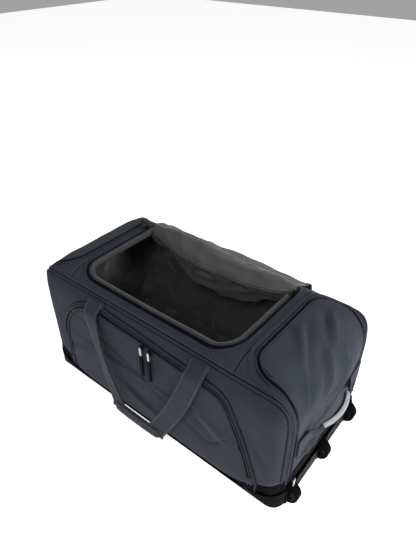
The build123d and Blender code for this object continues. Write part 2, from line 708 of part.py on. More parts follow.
PULL_LIFT = SLIDER_H + PULL_GAP + PULL_T / 2
TRACK_GAP = CLEARANCE + ZIP_H + CLEARANCE
for name, x in {"left": MOUTH_LEFT - 1 - SLIDER_W / 2, "right": MOUTH_RIGHT + 1 + SLIDER_W / 2}.items():
    seat = Plane(origin=(x, MAIN_SLIDER_Y, HEIGHT + TRACK_GAP), x_dir=(1, 0, 0), z_dir=(0, 0, 1))
    write(slider_block(seat, SLIDER_W, SLIDER_L), f"mouth_slider_{name}")
    plate = pull_plate(seat.offset(PULL_LIFT), 0, SMALL_PULL_L, PULL_W, PULL_T)
    write(plate, f"mouth_pull_{name}")
for name, way in {"left": -1, "right": 1}.items():
    seat = Plane(
        origin=(way * (HALF_L + TRACK_GAP), -END_ARCH_HALF_Y, END_SLIDER_ZS[name]),
        x_dir=(0, way, 0), z_dir=(way, 0, 0),
    )
    write(slider_block(seat, SLIDER_W, SLIDER_L), f"{name}_end_slider")
    plate = pull_plate(seat.offset(PULL_LIFT), 0, SMALL_PULL_L, PULL_W, PULL_T)
    write(plate, f"{name}_end_pull")


def pocket_zip_z(x):
    """Height of the middle of the pocket zip on its long upper run."""
    fall = (POCKET_LEFT_TOP_Z - POCKET_RIGHT_TOP[1]) / (POCKET_RIGHT_TOP[0] - POCKET_LEFT)
    return POCKET_LEFT_TOP_Z - fall * (x - POCKET_LEFT) - POCKET_ZIP_INSET - ZIP_W / 2


for name, x in POCKET_SLIDER_XS.items():
    z = pocket_zip_z(x)
    reach = SHOULDER_R + POCKET_T + TRACK_GAP
    rise = z - (HEIGHT - SHOULDER_R)
    run = sqrt(reach**2 - rise**2)
    out = Vector(0, -run / reach, rise / reach)
    seat = Plane(origin=(x, SHOULDER_R - HALF_W - run, z), x_dir=(1, 0, 0), z_dir=out)
    write(slider_block(seat, SLIDER_L, SLIDER_W), f"pocket_slider_{name}")
    pivot = seat.origin + out * (SLIDER_H + POCKET_PULL_GAP + PULL_T / 2)
    plumb = Plane(origin=pivot, x_dir=(1, 0, 0), z_dir=(0, -1, 0))
    write(pull_plate(plumb, 0, LINK_L, PULL_W, PULL_T), f"pocket_pull_link_{name}")
    write(pull_plate(plumb, LINK_L, RUBBER_L, RUBBER_W, RUBBER_T), f"pocket_pull_rubber_{name}")
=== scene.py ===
import json
from math import cos, pi, radians, sin, sqrt

import bmesh
import bpy
import numpy as np
from bpy.props import FloatProperty, FloatVectorProperty, PointerProperty
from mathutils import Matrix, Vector

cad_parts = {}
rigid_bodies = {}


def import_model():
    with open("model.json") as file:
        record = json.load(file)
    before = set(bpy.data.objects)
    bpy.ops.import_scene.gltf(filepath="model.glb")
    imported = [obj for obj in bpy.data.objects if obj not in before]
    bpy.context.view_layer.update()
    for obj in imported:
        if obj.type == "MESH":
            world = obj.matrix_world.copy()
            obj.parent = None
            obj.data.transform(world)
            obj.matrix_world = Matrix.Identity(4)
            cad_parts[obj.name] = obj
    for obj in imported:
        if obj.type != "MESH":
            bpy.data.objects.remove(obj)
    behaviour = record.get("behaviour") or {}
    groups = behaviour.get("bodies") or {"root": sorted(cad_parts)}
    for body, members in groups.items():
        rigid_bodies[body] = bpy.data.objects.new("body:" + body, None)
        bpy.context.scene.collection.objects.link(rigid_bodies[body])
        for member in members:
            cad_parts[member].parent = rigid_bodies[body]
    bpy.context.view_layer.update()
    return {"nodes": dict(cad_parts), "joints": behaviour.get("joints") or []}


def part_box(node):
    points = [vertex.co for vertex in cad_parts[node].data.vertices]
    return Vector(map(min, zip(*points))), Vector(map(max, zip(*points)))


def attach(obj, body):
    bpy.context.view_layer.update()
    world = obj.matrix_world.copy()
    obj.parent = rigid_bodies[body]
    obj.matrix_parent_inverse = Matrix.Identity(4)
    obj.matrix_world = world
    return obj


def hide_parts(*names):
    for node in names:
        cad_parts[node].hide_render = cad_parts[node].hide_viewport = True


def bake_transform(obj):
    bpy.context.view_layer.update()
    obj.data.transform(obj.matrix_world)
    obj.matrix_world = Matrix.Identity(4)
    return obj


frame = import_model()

bl_info = {
    "name": "Rolling duffel bag",
    "version": (1, 0, 0),
    "blender": (4, 5, 0),
    "location": "View3D > Sidebar > Duffel",
    "description": "Cloth, trim and materials of a wheeled duffel bag over its CAD frame",
    "category": "Object",
}

for part in bpy.context.scene.objects:
    part.select_set(False)

# ---- sizes taken from the frame, in metres
HALF_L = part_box("right_end_panel")[1][0]
HALF_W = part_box("back_panel")[1][1]
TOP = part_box("top_panel")[1][2]
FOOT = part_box("base_panel")[0][2]
MOUTH_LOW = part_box("mouth_binding")[0]
MOUTH_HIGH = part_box("mouth_binding")[1]
JOINTS = {joint["name"]: joint for joint in frame["joints"]}
LID_HINGE = JOINTS["lid_swing"]["pos_m"]
LID_FOLD = JOINTS["lid_unfold"]["pos_m"]
LID_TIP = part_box("lid_zip")
FRONT_FOLD = JOINTS["front_handle_swing"]["pos_m"]
BACK_FOLD = JOINTS["back_handle_swing"]["pos_m"]
GRAB_AXIS = JOINTS["right_grab_tilt"]["pos_m"]

# ---- form of the bag, the same as the frame's
SHOULDER_R = 0.090
PLAN_R = 0.050
RIGHT_TOP_R = 0.110
LEFT_TOP_R = 0.080
FOOT_R = 0.014
SIDE_SEAM_Y = 0.174
RIGHT_SEAM_X = 0.235
LEFT_SEAM_X = -0.278
ARCH_TOP = {1: 0.256, -1: 0.305}
ARCH_HALF_Y = 0.152
ARCH_R = 0.055
ARCH_FOOT_Z = 0.060
BASE_SIDE_Z = 0.016
BASE_END_Z = 0.114
TRAY_SIDE_Z = 0.013
TRAY_END_Z = 0.066
SWEEP_L = 0.175
SWEEP_PAST = 0.012
MOUTH_FRONT_R = 0.055
MOUTH_BACK_R = 0.008
POCKET_CORNERS = (
    (-0.304, 0.022), (-0.304, 0.322), (0.239, 0.289), (0.300, 0.142), (0.322, 0.062), (0.322, 0.022),
)
POCKET_RADII = (0.006, 0.150, 0.050, 0.120, 0.020, 0.006)
POCKET_T = 0.008
POCKET_ZIP_INSET = 0.009
POCKET_ZIP_FOOT_Z = 0.070
END_ZIP_FOOT_Z = 0.092

# ---- spacing of meshes and lines, thicknesses, and stitches by length, width and height, in metres
CLOTH_GRID = 0.005
LINING_GRID = 0.008
PATH_STEP = 0.004
LINING_T = 0.0008
STITCH = (0.0029, 0.0008, 0.0005)
EDGE_STITCH = (0.0028, 0.0007, 0.0004)
RIM_STITCH = (0.0028, 0.0010, 0.0006)
LID_STITCH = (0.0029, 0.0010, 0.0006)
SLEEVE_STITCH = (0.0028, 0.0007, 0.0009)
CROSS_STITCH = (0.0024, 0.0008, 0.0005)
CROSS_SPACING = 0.0035
SEWN_LIFT = 0.0003
TOOTH_SHARE = 0.62
TOOTH_SHIFT = 0.0007
TAPE_T = 0.0009
EDGE_T = 0.0006
STRAP_T = 0.0026
PATCH_T = 0.003
TAB_T = 0.0026
GARAGE_T = 0.0016
BINDING_T = 0.0012
PATCH_BOX = np.array((0.042, 0.009))
TAB_BOX = np.array((0.030, 0.040))


# ---------------------------------------------------------------- shape functions
def rounded_rectangle(u, v, low, high, radii):
    """Signed distance to a rectangle; radii are for the corners -u-v, -u+v, +u+v and +u-v."""
    mid_u = (low[0] + high[0]) / 2
    mid_v = (low[1] + high[1]) / 2
    r = np.where(
        u > mid_u, np.where(v > mid_v, radii[2], radii[3]), np.where(v > mid_v, radii[1], radii[0]),
    )
    a = np.abs(u - mid_u) - (high[0] - low[0]) / 2 + r
    b = np.abs(v - mid_v) - (high[1] - low[1]) / 2 + r
    return np.hypot(np.maximum(a, 0), np.maximum(b, 0)) + np.minimum(np.maximum(a, b), 0) - r


def form_distance(p):
    """Signed distance from points to the bag's form, an intersection of three rounded prisms."""
    x, y, z = p[..., 0], p[..., 1], p[..., 2]
    side = rounded_rectangle(
        x, z, (-HALF_L, FOOT), (HALF_L, TOP), (FOOT_R, LEFT_TOP_R, RIGHT_TOP_R, FOOT_R),
    )
    end = rounded_rectangle(y, z, (-HALF_W, FOOT), (HALF_W, TOP), (FOOT_R, SHOULDER_R, SHOULDER_R, FOOT_R))
    plan = rounded_rectangle(x, y, (-HALF_L, -HALF_W), (HALF_L, HALF_W), (PLAN_R,) * 4)
    blend = 0.012
    first = soft_max(side, end, blend)
    return soft_max(first, plan, blend)


def soft_max(a, b, blend):
    """Larger of two distances, rounded off where they are nearly equal."""
    near = np.maximum(blend - np.abs(a - b), 0) / blend
    return np.maximum(a, b) + near**2 * blend / 4


def slopes(p, function, step=0.0005):
    """Gradient of a function of points."""
    rows = []
    for axis in range(3):
        move = np.zeros(3)
        move[axis] = step
        rows.append((function(p + move) - function(p - move)) / (2 * step))
    return np.stack(rows, axis=-1)


def unit(v):
    """Vectors scaled to length one."""
    return v / np.maximum(np.linalg.norm(v, axis=-1, keepdims=True), 1e-12)


def normals_at(p):
    """Outward normals of the form at points on it."""
    return unit(slopes(p, form_distance))


def march(p, direction, inset=0.0):
    """Moves points against a direction until they meet the form, moved in by inset."""
    direction = unit(np.asarray(direction, float))
    for _ in range(60):
        gap = form_distance(p) + inset
        p = p - direction * gap[..., None]
    return p


def foot_line(x, side_z=BASE_SIDE_Z, end_z=BASE_END_Z):
    """Height of the top of the base panel, or of the tray, at each place along the bag."""
    run = HALF_L - SWEEP_L
    reach = HALF_L + SWEEP_PAST
    a = np.array((run, side_z))
    b = np.array((HALF_L - SWEEP_L / 2, side_z + 0.3 * (end_z - side_z)))
    c = np.array((reach, end_z))
    rows = 2 * np.array((b - a, c - a))
    middle = np.linalg.solve(rows, np.array((b @ b - a @ a, c @ c - a @ a)))
    radius = np.linalg.norm(a - middle)
    along = np.minimum(np.abs(x), reach)
    rise = middle[1] - np.sqrt(np.maximum(radius**2 - (along - middle[0]) ** 2, 0))
    return np.where(np.abs(x) < run, side_z, rise)


def arch_distance(p, way):
    """Signed distance to the edge of an end panel, measured across the sloping line it is cut on."""
    x, y, z = p[..., 0], p[..., 1], p[..., 2]
    high = (TOP - ARCH_TOP[way]) / sqrt(2)
    low = (ARCH_FOOT_Z - HALF_L) / sqrt(2)
    across = (z - way * x) / sqrt(2)
    edge = rounded_rectangle(y, across, (-ARCH_HALF_Y, low), (ARCH_HALF_Y, high), (0.01, ARCH_R, ARCH_R, 0.01))
    return np.where(way * x > 0.10, edge, 1.0)


def mouth_distance(p):
    """Signed distance in plan to the edge of the mouth."""
    low = (MOUTH_LOW[0], MOUTH_LOW[1])
    high = (MOUTH_HIGH[0], MOUTH_HIGH[1])
    radii = (MOUTH_FRONT_R, MOUTH_BACK_R, MOUTH_BACK_R, MOUTH_FRONT_R)
    edge = rounded_rectangle(p[..., 0], p[..., 1], low, high, radii)
    return np.where(p[..., 2] > TOP / 2, edge, 1.0)


def filleted(corners, radii, steps=10):
    """Points of a closed outline with rounded corners."""
    corners = [np.array(c, float) for c in corners]
    points = []
    for i, here in enumerate(corners):
        u = unit(corners[i - 1] - here)
        w = unit(corners[(i + 1) % len(corners)] - here)
        half = np.arccos(np.clip(u @ w, -1, 1)) / 2
        centre = here + unit(u + w) * radii[i] / sin(half)
        a = here + u * radii[i] / np.tan(half) - centre
        b = here + w * radii[i] / np.tan(half) - centre
        turn = pi - 2 * half
        for t in np.linspace(0, 1, steps):
            points.append(centre + (sin((1 - t) * turn) * a + sin(t * turn) * b) / sin(turn))
    return np.array(points)


def inset_outline(points, inset):
    """A closed plane outline moved in by inset."""
    tangent = unit(np.roll(points, -1, axis=0) - np.roll(points, 1, axis=0))
    area = np.sum(points[:, 0] * np.roll(points[:, 1], -1) - points[:, 1] * np.roll(points[:, 0], -1))
    inward = np.stack((-tangent[:, 1], tangent[:, 0]), axis=1) * np.sign(area)
    return points + inward * inset


def resample(points, spacing, closed=False):
    """Evenly spaced points along a polyline."""
    if closed:
        points = np.vstack((points, points[:1]))
    lengths = np.concatenate(((0,), np.cumsum(np.linalg.norm(np.diff(points, axis=0), axis=1))))
    count = max(int(round(lengths[-1] / spacing)), 2)
    marks = np.linspace(0, lengths[-1], count + 1)
    if closed:
        marks = marks[:-1]
    return np.stack([np.interp(marks, lengths, points[:, k]) for k in range(points.shape[1])], axis=1)


POCKET_OUTLINE = filleted(POCKET_CORNERS, POCKET_RADII)


def outline_distance(u, v, outline):
    """Signed distance to a closed outline, negative inside."""
    a = outline
    b = np.roll(outline, -1, axis=0)
    best = np.full(u.shape, 9.0)
    inside = np.zeros(u.shape, bool)
    for (au, av), (bu, bv) in zip(a, b):
        eu, ev = bu - au, bv - av
        length = eu * eu + ev * ev
        if length < 1e-14:
            continue
        t = np.clip(((u - au) * eu + (v - av) * ev) / length, 0, 1)
        best = np.minimum(best, np.hypot(u - au - t * eu, v - av - t * ev))
        if ev:
            crosses = (av > v) != (bv > v)
            inside ^= crosses & (u < au + (v - av) * eu / ev)
    return np.where(inside, -best, best)


def pocket_distance(p):
    """Signed distance to the front pocket's outline, on the front of the bag only."""
    edge = outline_distance(p[..., 0], p[..., 2], POCKET_OUTLINE)
    return np.where(p[..., 1] < -0.08, edge, 1.0)


def yoke_line(x):
    """Height of the seam that crosses the pocket from upper left to lower right."""
    t = np.clip((x + 0.27) / 0.46, 0, 1)
    dip = 0.262 - 0.155 * t**1.15
    lift = np.clip((x - 0.19) / 0.05, 0, 1)
    return dip + 0.05 * lift**2


# ---------------------------------------------------------------- cloth
# Three sets of waves: swags across a panel, folds, and small crumples, by their length in metres.
RANDOM = np.random.default_rng(7)
WAVE_COUNT = 9
WAVE_SETS = [
    (unit(RANDOM.normal(size=(WAVE_COUNT, 3))) * 2 * pi / scale, RANDOM.uniform(0, 2 * pi, WAVE_COUNT))
    for scale in (0.21, 0.10, 0.046)
]


def waves(p, which):
    """Smooth seeded noise, about -1 to 1."""
    directions, phases = WAVE_SETS[which]
    return np.sin(p @ directions.T + phases).sum(axis=-1) / 4.2


def crease(p, start, end, width, depth):
    """A fold along a straight line: a raised roll beside a hollow."""
    start, end = np.array(start), np.array(end)
    along = end - start
    length = np.linalg.norm(along)
    t = np.clip((p - start) @ along / length**2, 0, 1)
    off = p - start - t[..., None] * along
    reach = np.linalg.norm(off, axis=-1)
    side = unit(np.cross(along, normals_at(start[None])[0]))
    signed = off @ side
    fade = np.sin(pi * np.clip(t, 0.02, 0.98)) ** 0.7
    return depth * fade * np.exp(-((reach / width) ** 2)) * np.clip(signed / width * 2 + 0.3, -1, 1)


# Each fold's two ends, its width and its depth; a negative depth puts the roll on the other side.
CREASES = (
    ((0.275, 0.030, 0.362), (0.344, -0.073, 0.338), 0.017, 0.0080),
    ((0.344, -0.073, 0.338), (0.382, -0.124, 0.270), 0.017, 0.0085),
    ((0.300, 0.100, 0.360), (0.347, 0.025, 0.335), 0.016, -0.0070),
    ((0.337, 0.006, 0.343), (0.384, -0.047, 0.260), 0.017, -0.0085),
    ((0.372, 0.060, 0.302), (0.385, 0.020, 0.205), 0.017, 0.0075),
    ((0.385, -0.130, 0.165), (0.385, -0.010, 0.125), 0.020, 0.0080),
    ((0.385, -0.095, 0.225), (0.385, -0.125, 0.135), 0.016, -0.0065),
    ((0.385, 0.020, 0.225), (0.385, -0.060, 0.140), 0.018, 0.0070),
    ((0.385, 0.060, 0.200), (0.385, 0.110, 0.120), 0.018, -0.0060),
    ((-0.385, -0.120, 0.260), (-0.385, 0.050, 0.190), 0.018, 0.0070),
    ((-0.385, 0.120, 0.170), (-0.385, -0.040, 0.120), 0.018, 0.0060),
    ((-0.300, -0.195, 0.100), (-0.200, -0.195, 0.170), 0.022, 0.0040),
    ((-0.100, -0.195, 0.120), (0.060, -0.195, 0.070), 0.024, 0.0035),
    ((0.120, -0.195, 0.200), (0.240, -0.195, 0.130), 0.022, -0.0035),
    ((0.300, -0.195, 0.200), (0.350, -0.195, 0.100), 0.018, 0.0035),
    ((-0.250, 0.195, 0.220), (-0.050, 0.195, 0.140), 0.024, 0.0050),
    ((0.050, 0.195, 0.120), (0.250, 0.195, 0.200), 0.024, -0.0050),
    ((-0.050, 0.195, 0.100), (0.150, 0.195, 0.060), 0.022, 0.0040),
)

# Each hollow's centre, its reach and its depth.
DENTS = (
    ((0.385, -0.010, 0.215), 0.040, 0.0075),
    ((0.372, -0.105, 0.245), 0.030, 0.0040),
    ((-0.385, 0.010, 0.215), 0.040, 0.0060),
    ((0.330, -0.060, 0.330), 0.045, 0.0035),
    ((0.300, 0.090, 0.350), 0.040, 0.0035),
    ((0.300, -0.190, 0.190), 0.035, 0.0030),
    ((-0.220, 0.195, 0.180), 0.060, 0.0040),
)


def seam_gap(p):
    """Distance to the nearest seam, for the puckering along it."""
    x, y, z = p[..., 0], p[..., 1], p[..., 2]
    gap = np.minimum(np.abs(np.abs(y) - SIDE_SEAM_Y), np.abs(z - foot_line(x)))
    for way in (-1, 1):
        gap = np.minimum(gap, np.abs(arch_distance(p, way)))
    on_top = (np.abs(y) < SIDE_SEAM_Y) & (z > TOP / 2)
    for seam_x in (LEFT_SEAM_X, RIGHT_SEAM_X):
        gap = np.minimum(gap, np.where(on_top, np.abs(x - seam_x), 1.0))
    return gap


def smoothstep(t):
    """Eased 0 to 1."""
    t = np.clip(t, 0, 1)
    return t * t * (3 - 2 * t)


PANEL_CROWN = 0.0050
SEAM_PUCKER = 0.0018
CREASE_GAIN = 1.5
BACK_LIMIT = 0.0042


def puff(p):
    """How far the cloth stands off the form: crowned panels, puckered seams, waves and folds."""
    x, y, z = p[..., 0], p[..., 1], p[..., 2]
    gap = seam_gap(p)
    crown = PANEL_CROWN * (1 - np.exp(-((gap / 0.045) ** 2))) - SEAM_PUCKER * np.exp(-((gap / 0.005) ** 2))
    slack = smoothstep(gap / 0.03)
    above_foot = smoothstep((z - foot_line(x)) / 0.05)
    lift = crown + slack * above_foot * (0.0020 * waves(p, 0) + 0.0012 * waves(p, 1) + 0.0004 * waves(p, 2))
    for start, end, width, depth in CREASES:
        lift = lift + slack * crease(p, start, end, width, depth * CREASE_GAIN)
    for centre, reach, depth in DENTS:
        lift = lift - slack * depth * np.exp(-np.sum((p - centre) ** 2, axis=-1) / reach**2)
    # The lid hangs against the back, and the grab handles lie on the ends, so the cloth keeps low there.
    lift = np.where(y > 0.12, np.minimum(lift, BACK_LIMIT), lift)
    grab = np.exp(-((y / 0.085) ** 4 + ((z - GRAB_AXIS[2]) / 0.030) ** 4)) * (np.abs(x) > HALF_L - 0.03)
    lift = lift * (1 - grab) + np.minimum(lift, -0.001) * grab
    mouth = mouth_distance(p)
    by_mouth = np.exp(-((np.maximum(mouth, 0) / 0.05) ** 2)) * (z > TOP / 2)
    droop = 0.006 * np.cos(np.clip((x + 0.03) / 0.26, -1, 1) * pi / 2) * (y < 0) + 0.003
    lift = lift - by_mouth * (droop + crown)
    pocket = pocket_distance(p)
    shelf = smoothstep(-pocket / 0.006) * (POCKET_T - 0.002)
    belly = 0.003 * smoothstep(-pocket / 0.10)
    yoke = np.abs(z - yoke_line(x))
    stitch = 0.0022 * np.exp(-((yoke / 0.004) ** 2)) * (x > -0.27) * (x < 0.25)
    lift = lift + shelf + np.where(pocket < 0, belly - stitch, 0)
    # Under the moulded tray it stays behind the form's own face.
    under = z < foot_line(x, TRAY_SIDE_Z, TRAY_END_Z) + 0.003
    return np.where(under, np.minimum(lift, -0.0002), lift)


def cloth_points(p, lift=0.0):
    """Points of the form moved out to the cloth, and lift beyond it."""
    return p + normals_at(p) * (puff(p) + lift)[..., None]


def cloth_normals(p):
    """Normals of the cloth itself at points of the form, its folds included."""
    n = normals_at(p)
    grade = slopes(p, puff, 0.001)
    grade = grade - n * np.sum(grade * n, axis=-1, keepdims=True)
    return unit(n - grade)


def box_lattice(step):
    """Start points and quads of a closed grid over the bag's box."""
    low = np.array((-HALF_L, -HALF_W, FOOT))
    high = np.array((HALF_L, HALF_W, TOP))
    counts = np.maximum(np.round((high - low) / step).astype(int), 2)
    points, quads, index = [], [], {}

    def vertex(cell):
        if cell not in index:
            index[cell] = len(points)
            points.append(low + (high - low) * np.array(cell) / counts)
        return index[cell]

    for axis in range(3):
        u, v = [a for a in range(3) if a != axis]
        for end in (0, 1):
            for i in range(counts[u]):
                for j in range(counts[v]):
                    cells = []
                    for di, dj in ((0, 0), (1, 0), (1, 1), (0, 1)):
                        cell = [0, 0, 0]
                        cell[axis] = int(counts[axis]) * end
                        cell[u], cell[v] = i + di, j + dj
                        cells.append(vertex(tuple(cell)))
                    flip = (end == 1) == (axis == 1)
                    quads.append(cells[::-1] if flip else cells)
    return np.array(points), np.array(quads)


def form_grid(step, inset=0.0):
    """A closed grid of quads on the form."""
    points, quads = box_lattice(step)
    # Points go straight out from a small box in the middle, so that the grid is even round the corners.
    core_low = np.array((-HALF_L + 0.13, -HALF_W + 0.11, FOOT + 0.08))
    core_high = np.array((HALF_L - 0.13, HALF_W - 0.11, TOP - 0.12))
    core = np.clip(points, core_low, core_high)
    return march(points, points - core, inset), quads


def snap(p, function, reach):
    """Draws grid points that lie near a seam onto it, along the form."""
    for _ in range(2):
        value = function(p)
        near = np.abs(value) < reach
        near_points = p[near]
        grade = slopes(near_points, function)
        n = normals_at(near_points)
        grade = grade - n * np.sum(grade * n, axis=-1, keepdims=True)
        size = np.sum(grade**2, axis=-1, keepdims=True)
        moved = near_points - grade * (value[near][:, None] / np.maximum(size, 0.2))
        p = p.copy()
        p[near] = march(moved, normals_at(moved))
    return p


def mesh_object(name, points, faces, material, smooth=True):
    """A new mesh object with one material."""
    mesh = bpy.data.meshes.new(name)
    mesh.from_pydata([tuple(q) for q in points], [], [tuple(f) for f in faces])
    mesh.validate()
    mesh.update()
    obj = bpy.data.objects.new(name, mesh)
    bpy.context.scene.collection.objects.link(obj)
    obj.data.materials.append(MATERIALS[material])
    if smooth:
        mesh.shade_smooth()
    return obj


def thicken(obj, thickness, offset=-1.0):
    """Gives a sheet its wall."""
    wall = obj.modifiers.new("wall", "SOLIDIFY")
    wall.thickness = thickness
    wall.offset = offset
    wall.material_offset = len(obj.data.materials) // 2
    wall.material_offset_rim = len(obj.data.materials) - 1
    bpy.ops.object.select_all(action="DESELECT")
    bpy.context.view_layer.objects.active = obj
    obj.select_set(True)
    bpy.ops.object.modifier_apply(modifier=wall.name)
    obj.select_set(False)


def piece(name, mesh, finish, body, nodes=(), wall=None, smooth=True):
    """A finished piece: its mesh and wall, the body it rides and the nodes it stands for."""
    obj = mesh_object(name, *mesh, finish, smooth)
    if wall:
        thicken(obj, *wall)
    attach(obj, body)
    if nodes:
        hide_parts(*nodes)
    return obj


def sew(name, mesh, finish, body):
    """A piece of stitches, teeth or coil, with flat faces."""
    return piece(name, mesh, finish, body, smooth=False)


def part_of_grid(points, quads, keep):
    """The quads that are kept, with only the points they use."""
    quads = quads[keep]
    used, inverse = np.unique(quads, return_inverse=True)
    return points[used], inverse.reshape(quads.shape)


def tidy_faces(faces):
    """Quads with repeated corners made triangles, and slivers dropped."""
    clean = []
    for face in faces:
        ring = [v for k, v in enumerate(face) if v != face[k - 1]]
        if len(set(ring)) == len(ring) and len(ring) > 2:
            clean.append(ring)
    return clean


def line_tangents(points, closed=False):
    """Unit tangents along a line."""
    if closed:
        return unit(np.roll(points, -1, axis=0) - np.roll(points, 1, axis=0))
    return unit(np.gradient(points, axis=0))


def grid_faces(n, m, around_n=False, around_m=False, flip=False):
    """Quads between n rows of m points, closed round either way if asked."""
    faces = []
    for i in range(n if around_n else n - 1):
        j = (i + 1) % n
        for k in range(m if around_m else m - 1):
            q = (k + 1) % m
            faces.append((i * m + k, j * m + k, j * m + q, i * m + q))
    return [f[::-1] for f in faces] if flip else faces


def tube(points, radius, closed=False, sides=8, ups=None):
    """Points and faces of a round tube along a line."""
    count = len(points)
    tangent = line_tangents(points, closed)
    across = unit(np.cross(tangent, ups))
    up = unit(np.cross(across, tangent))
    radius = np.broadcast_to(radius, (count,))[:, None]
    angles = [2 * pi * k / sides for k in range(sides)]
    verts = np.stack([points + (across * cos(a) + up * sin(a)) * radius for a in angles], axis=1)
    faces = grid_faces(count, sides, closed, True)
    if not closed:
        faces.append(tuple(range(sides)))
        faces.append(tuple((count - 1) * sides + k for k in range(sides))[::-1])
    return verts.reshape(-1, 3), faces


def ribbon(points, normals, width, thickness, closed=False, crown=0.0, across=None, columns=7):
    """Points and faces of a flat tape along a line, face up along the normals."""
    count, ring = len(points), 2 * columns
    side = unit(np.cross(line_tangents(points, closed), normals)) if across is None else across
    rows = []
    for level in (1, -1):
        for place in np.linspace(-0.5, 0.5, columns)[::level]:
            bow = crown * (1 - (2 * place) ** 2)
            rows.append(points + side * place * width + normals * (level * thickness / 2 + bow))
    faces = grid_faces(count, ring, closed, True, flip=True)
    if not closed:
        for base, turn in ((0, 1), ((count - 1) * ring, -1)):
            for k in range(columns - 1):
                quad = (base + k, base + ring - 1 - k, base + ring - 2 - k, base + k + 1)
                faces.append(quad[::turn])
    return np.stack(rows, axis=1).reshape(-1, 3), faces


def join(*parts):
    """Several meshes' points and faces as one."""
    verts, faces, base = [], [], 0
    for points, polygons in parts:
        verts.append(points)
        faces.extend(tuple(v + base for v in f) for f in polygons)
        base += len(points)
    return np.vstack(verts), faces


def blocks(points, along, out, size):
    """A small bevelled block at each point, its length along the line."""
    along = unit(along)
    out = unit(out - along * np.sum(out * along, axis=-1, keepdims=True))
    side = np.cross(along, out)
    corners = np.array([(x, y, z) for z in (0, 1) for x, y in ((-1, -1), (1, -1), (1, 1), (-1, 1))], float)
    corners[4:, :2] *= 0.7
    sizes_half = (size[0] / 2, size[1] / 2, size[2])
    verts = [points + along * x + side * y + out * z for x, y, z in corners * sizes_half]
    box = ((0, 3, 2, 1), (4, 5, 6, 7), (0, 1, 5, 4), (1, 2, 6, 5), (2, 3, 7, 6), (3, 0, 4, 7))
    faces = [tuple(8 * i + v for v in f) for i in range(len(points)) for f in box]
    return np.stack(verts, axis=1).reshape(-1, 3), faces


def stitches(points, normals, size, closed=False, shift=0.0, lift=0.0, spacing=None):
    """Stitches, or teeth, along a line that has normals."""
    fine = resample(np.hstack((points, normals)), spacing or sizes().stitch, closed)
    p, n = fine[:, :3], unit(fine[:, 3:])
    t = line_tangents(p, closed)
    if np.ndim(shift):
        shift = np.where(np.arange(len(p)) % 2, *shift)[:, None]
    return blocks(p + np.cross(t, n) * shift + n * lift, t, n, size)


# ---------------------------------------------------------------- materials
MATERIALS = {}


def linear(hex_colour):
    """Linear colour from an sRGB hex code."""
    values = [int(hex_colour[k : k + 2], 16) / 255 for k in (1, 3, 5)]
    return tuple(v / 12.92 if v <= 0.04045 else ((v + 0.055) / 1.055) ** 2.4 for v in values)


def shade(colour, factor):
    """A colour made lighter or darker, with its alpha."""
    return tuple(min(c * factor, 1.0) for c in colour) + (1.0,)


def add_node(tree, kind, values=(), **settings):
    """Adds a node with its settings; an input takes a number or is linked to a socket."""
    node = tree.nodes.new(kind)
    for key, value in settings.items():
        if hasattr(node, key):
            setattr(node, key, value)
        else:
            node.inputs[key].default_value = value
    for target, value in values:
        if isinstance(value, float):
            node.inputs[target].default_value = value
        else:
            tree.links.new(value, node.inputs[target])
    return node


def new_material(name, roughness, ior=1.5, metallic=0.0, sheen=0.0):
    """A material with its shader's plain numbers set."""
    material = bpy.data.materials.new(name)
    material.use_nodes = True
    tree = material.node_tree
    shader = tree.nodes["Principled BSDF"]
    shader.inputs["Roughness"].default_value = roughness
    shader.inputs["IOR"].default_value = ior
    shader.inputs["Metallic"].default_value = metallic
    shader.inputs["Sheen Weight"].default_value = sheen
    shader.inputs["Sheen Roughness"].default_value = 0.5
    MATERIALS[name] = material
    return tree, shader


def two_tone(tree, shader, factor, colour, spread):
    """Colours a shader from darker to lighter by a factor."""
    ramp = add_node(tree, "ShaderNodeValToRGB", [(0, factor)])
    ramp.color_ramp.elements[0].position = 0.25
    ramp.color_ramp.elements[0].color = shade(colour, 1 - spread)
    ramp.color_ramp.elements[1].position = 0.75
    ramp.color_ramp.elements[1].color = shade(colour, 1 + spread)
    tree.links.new(ramp.outputs[0], shader.inputs["Base Color"])
    return ramp


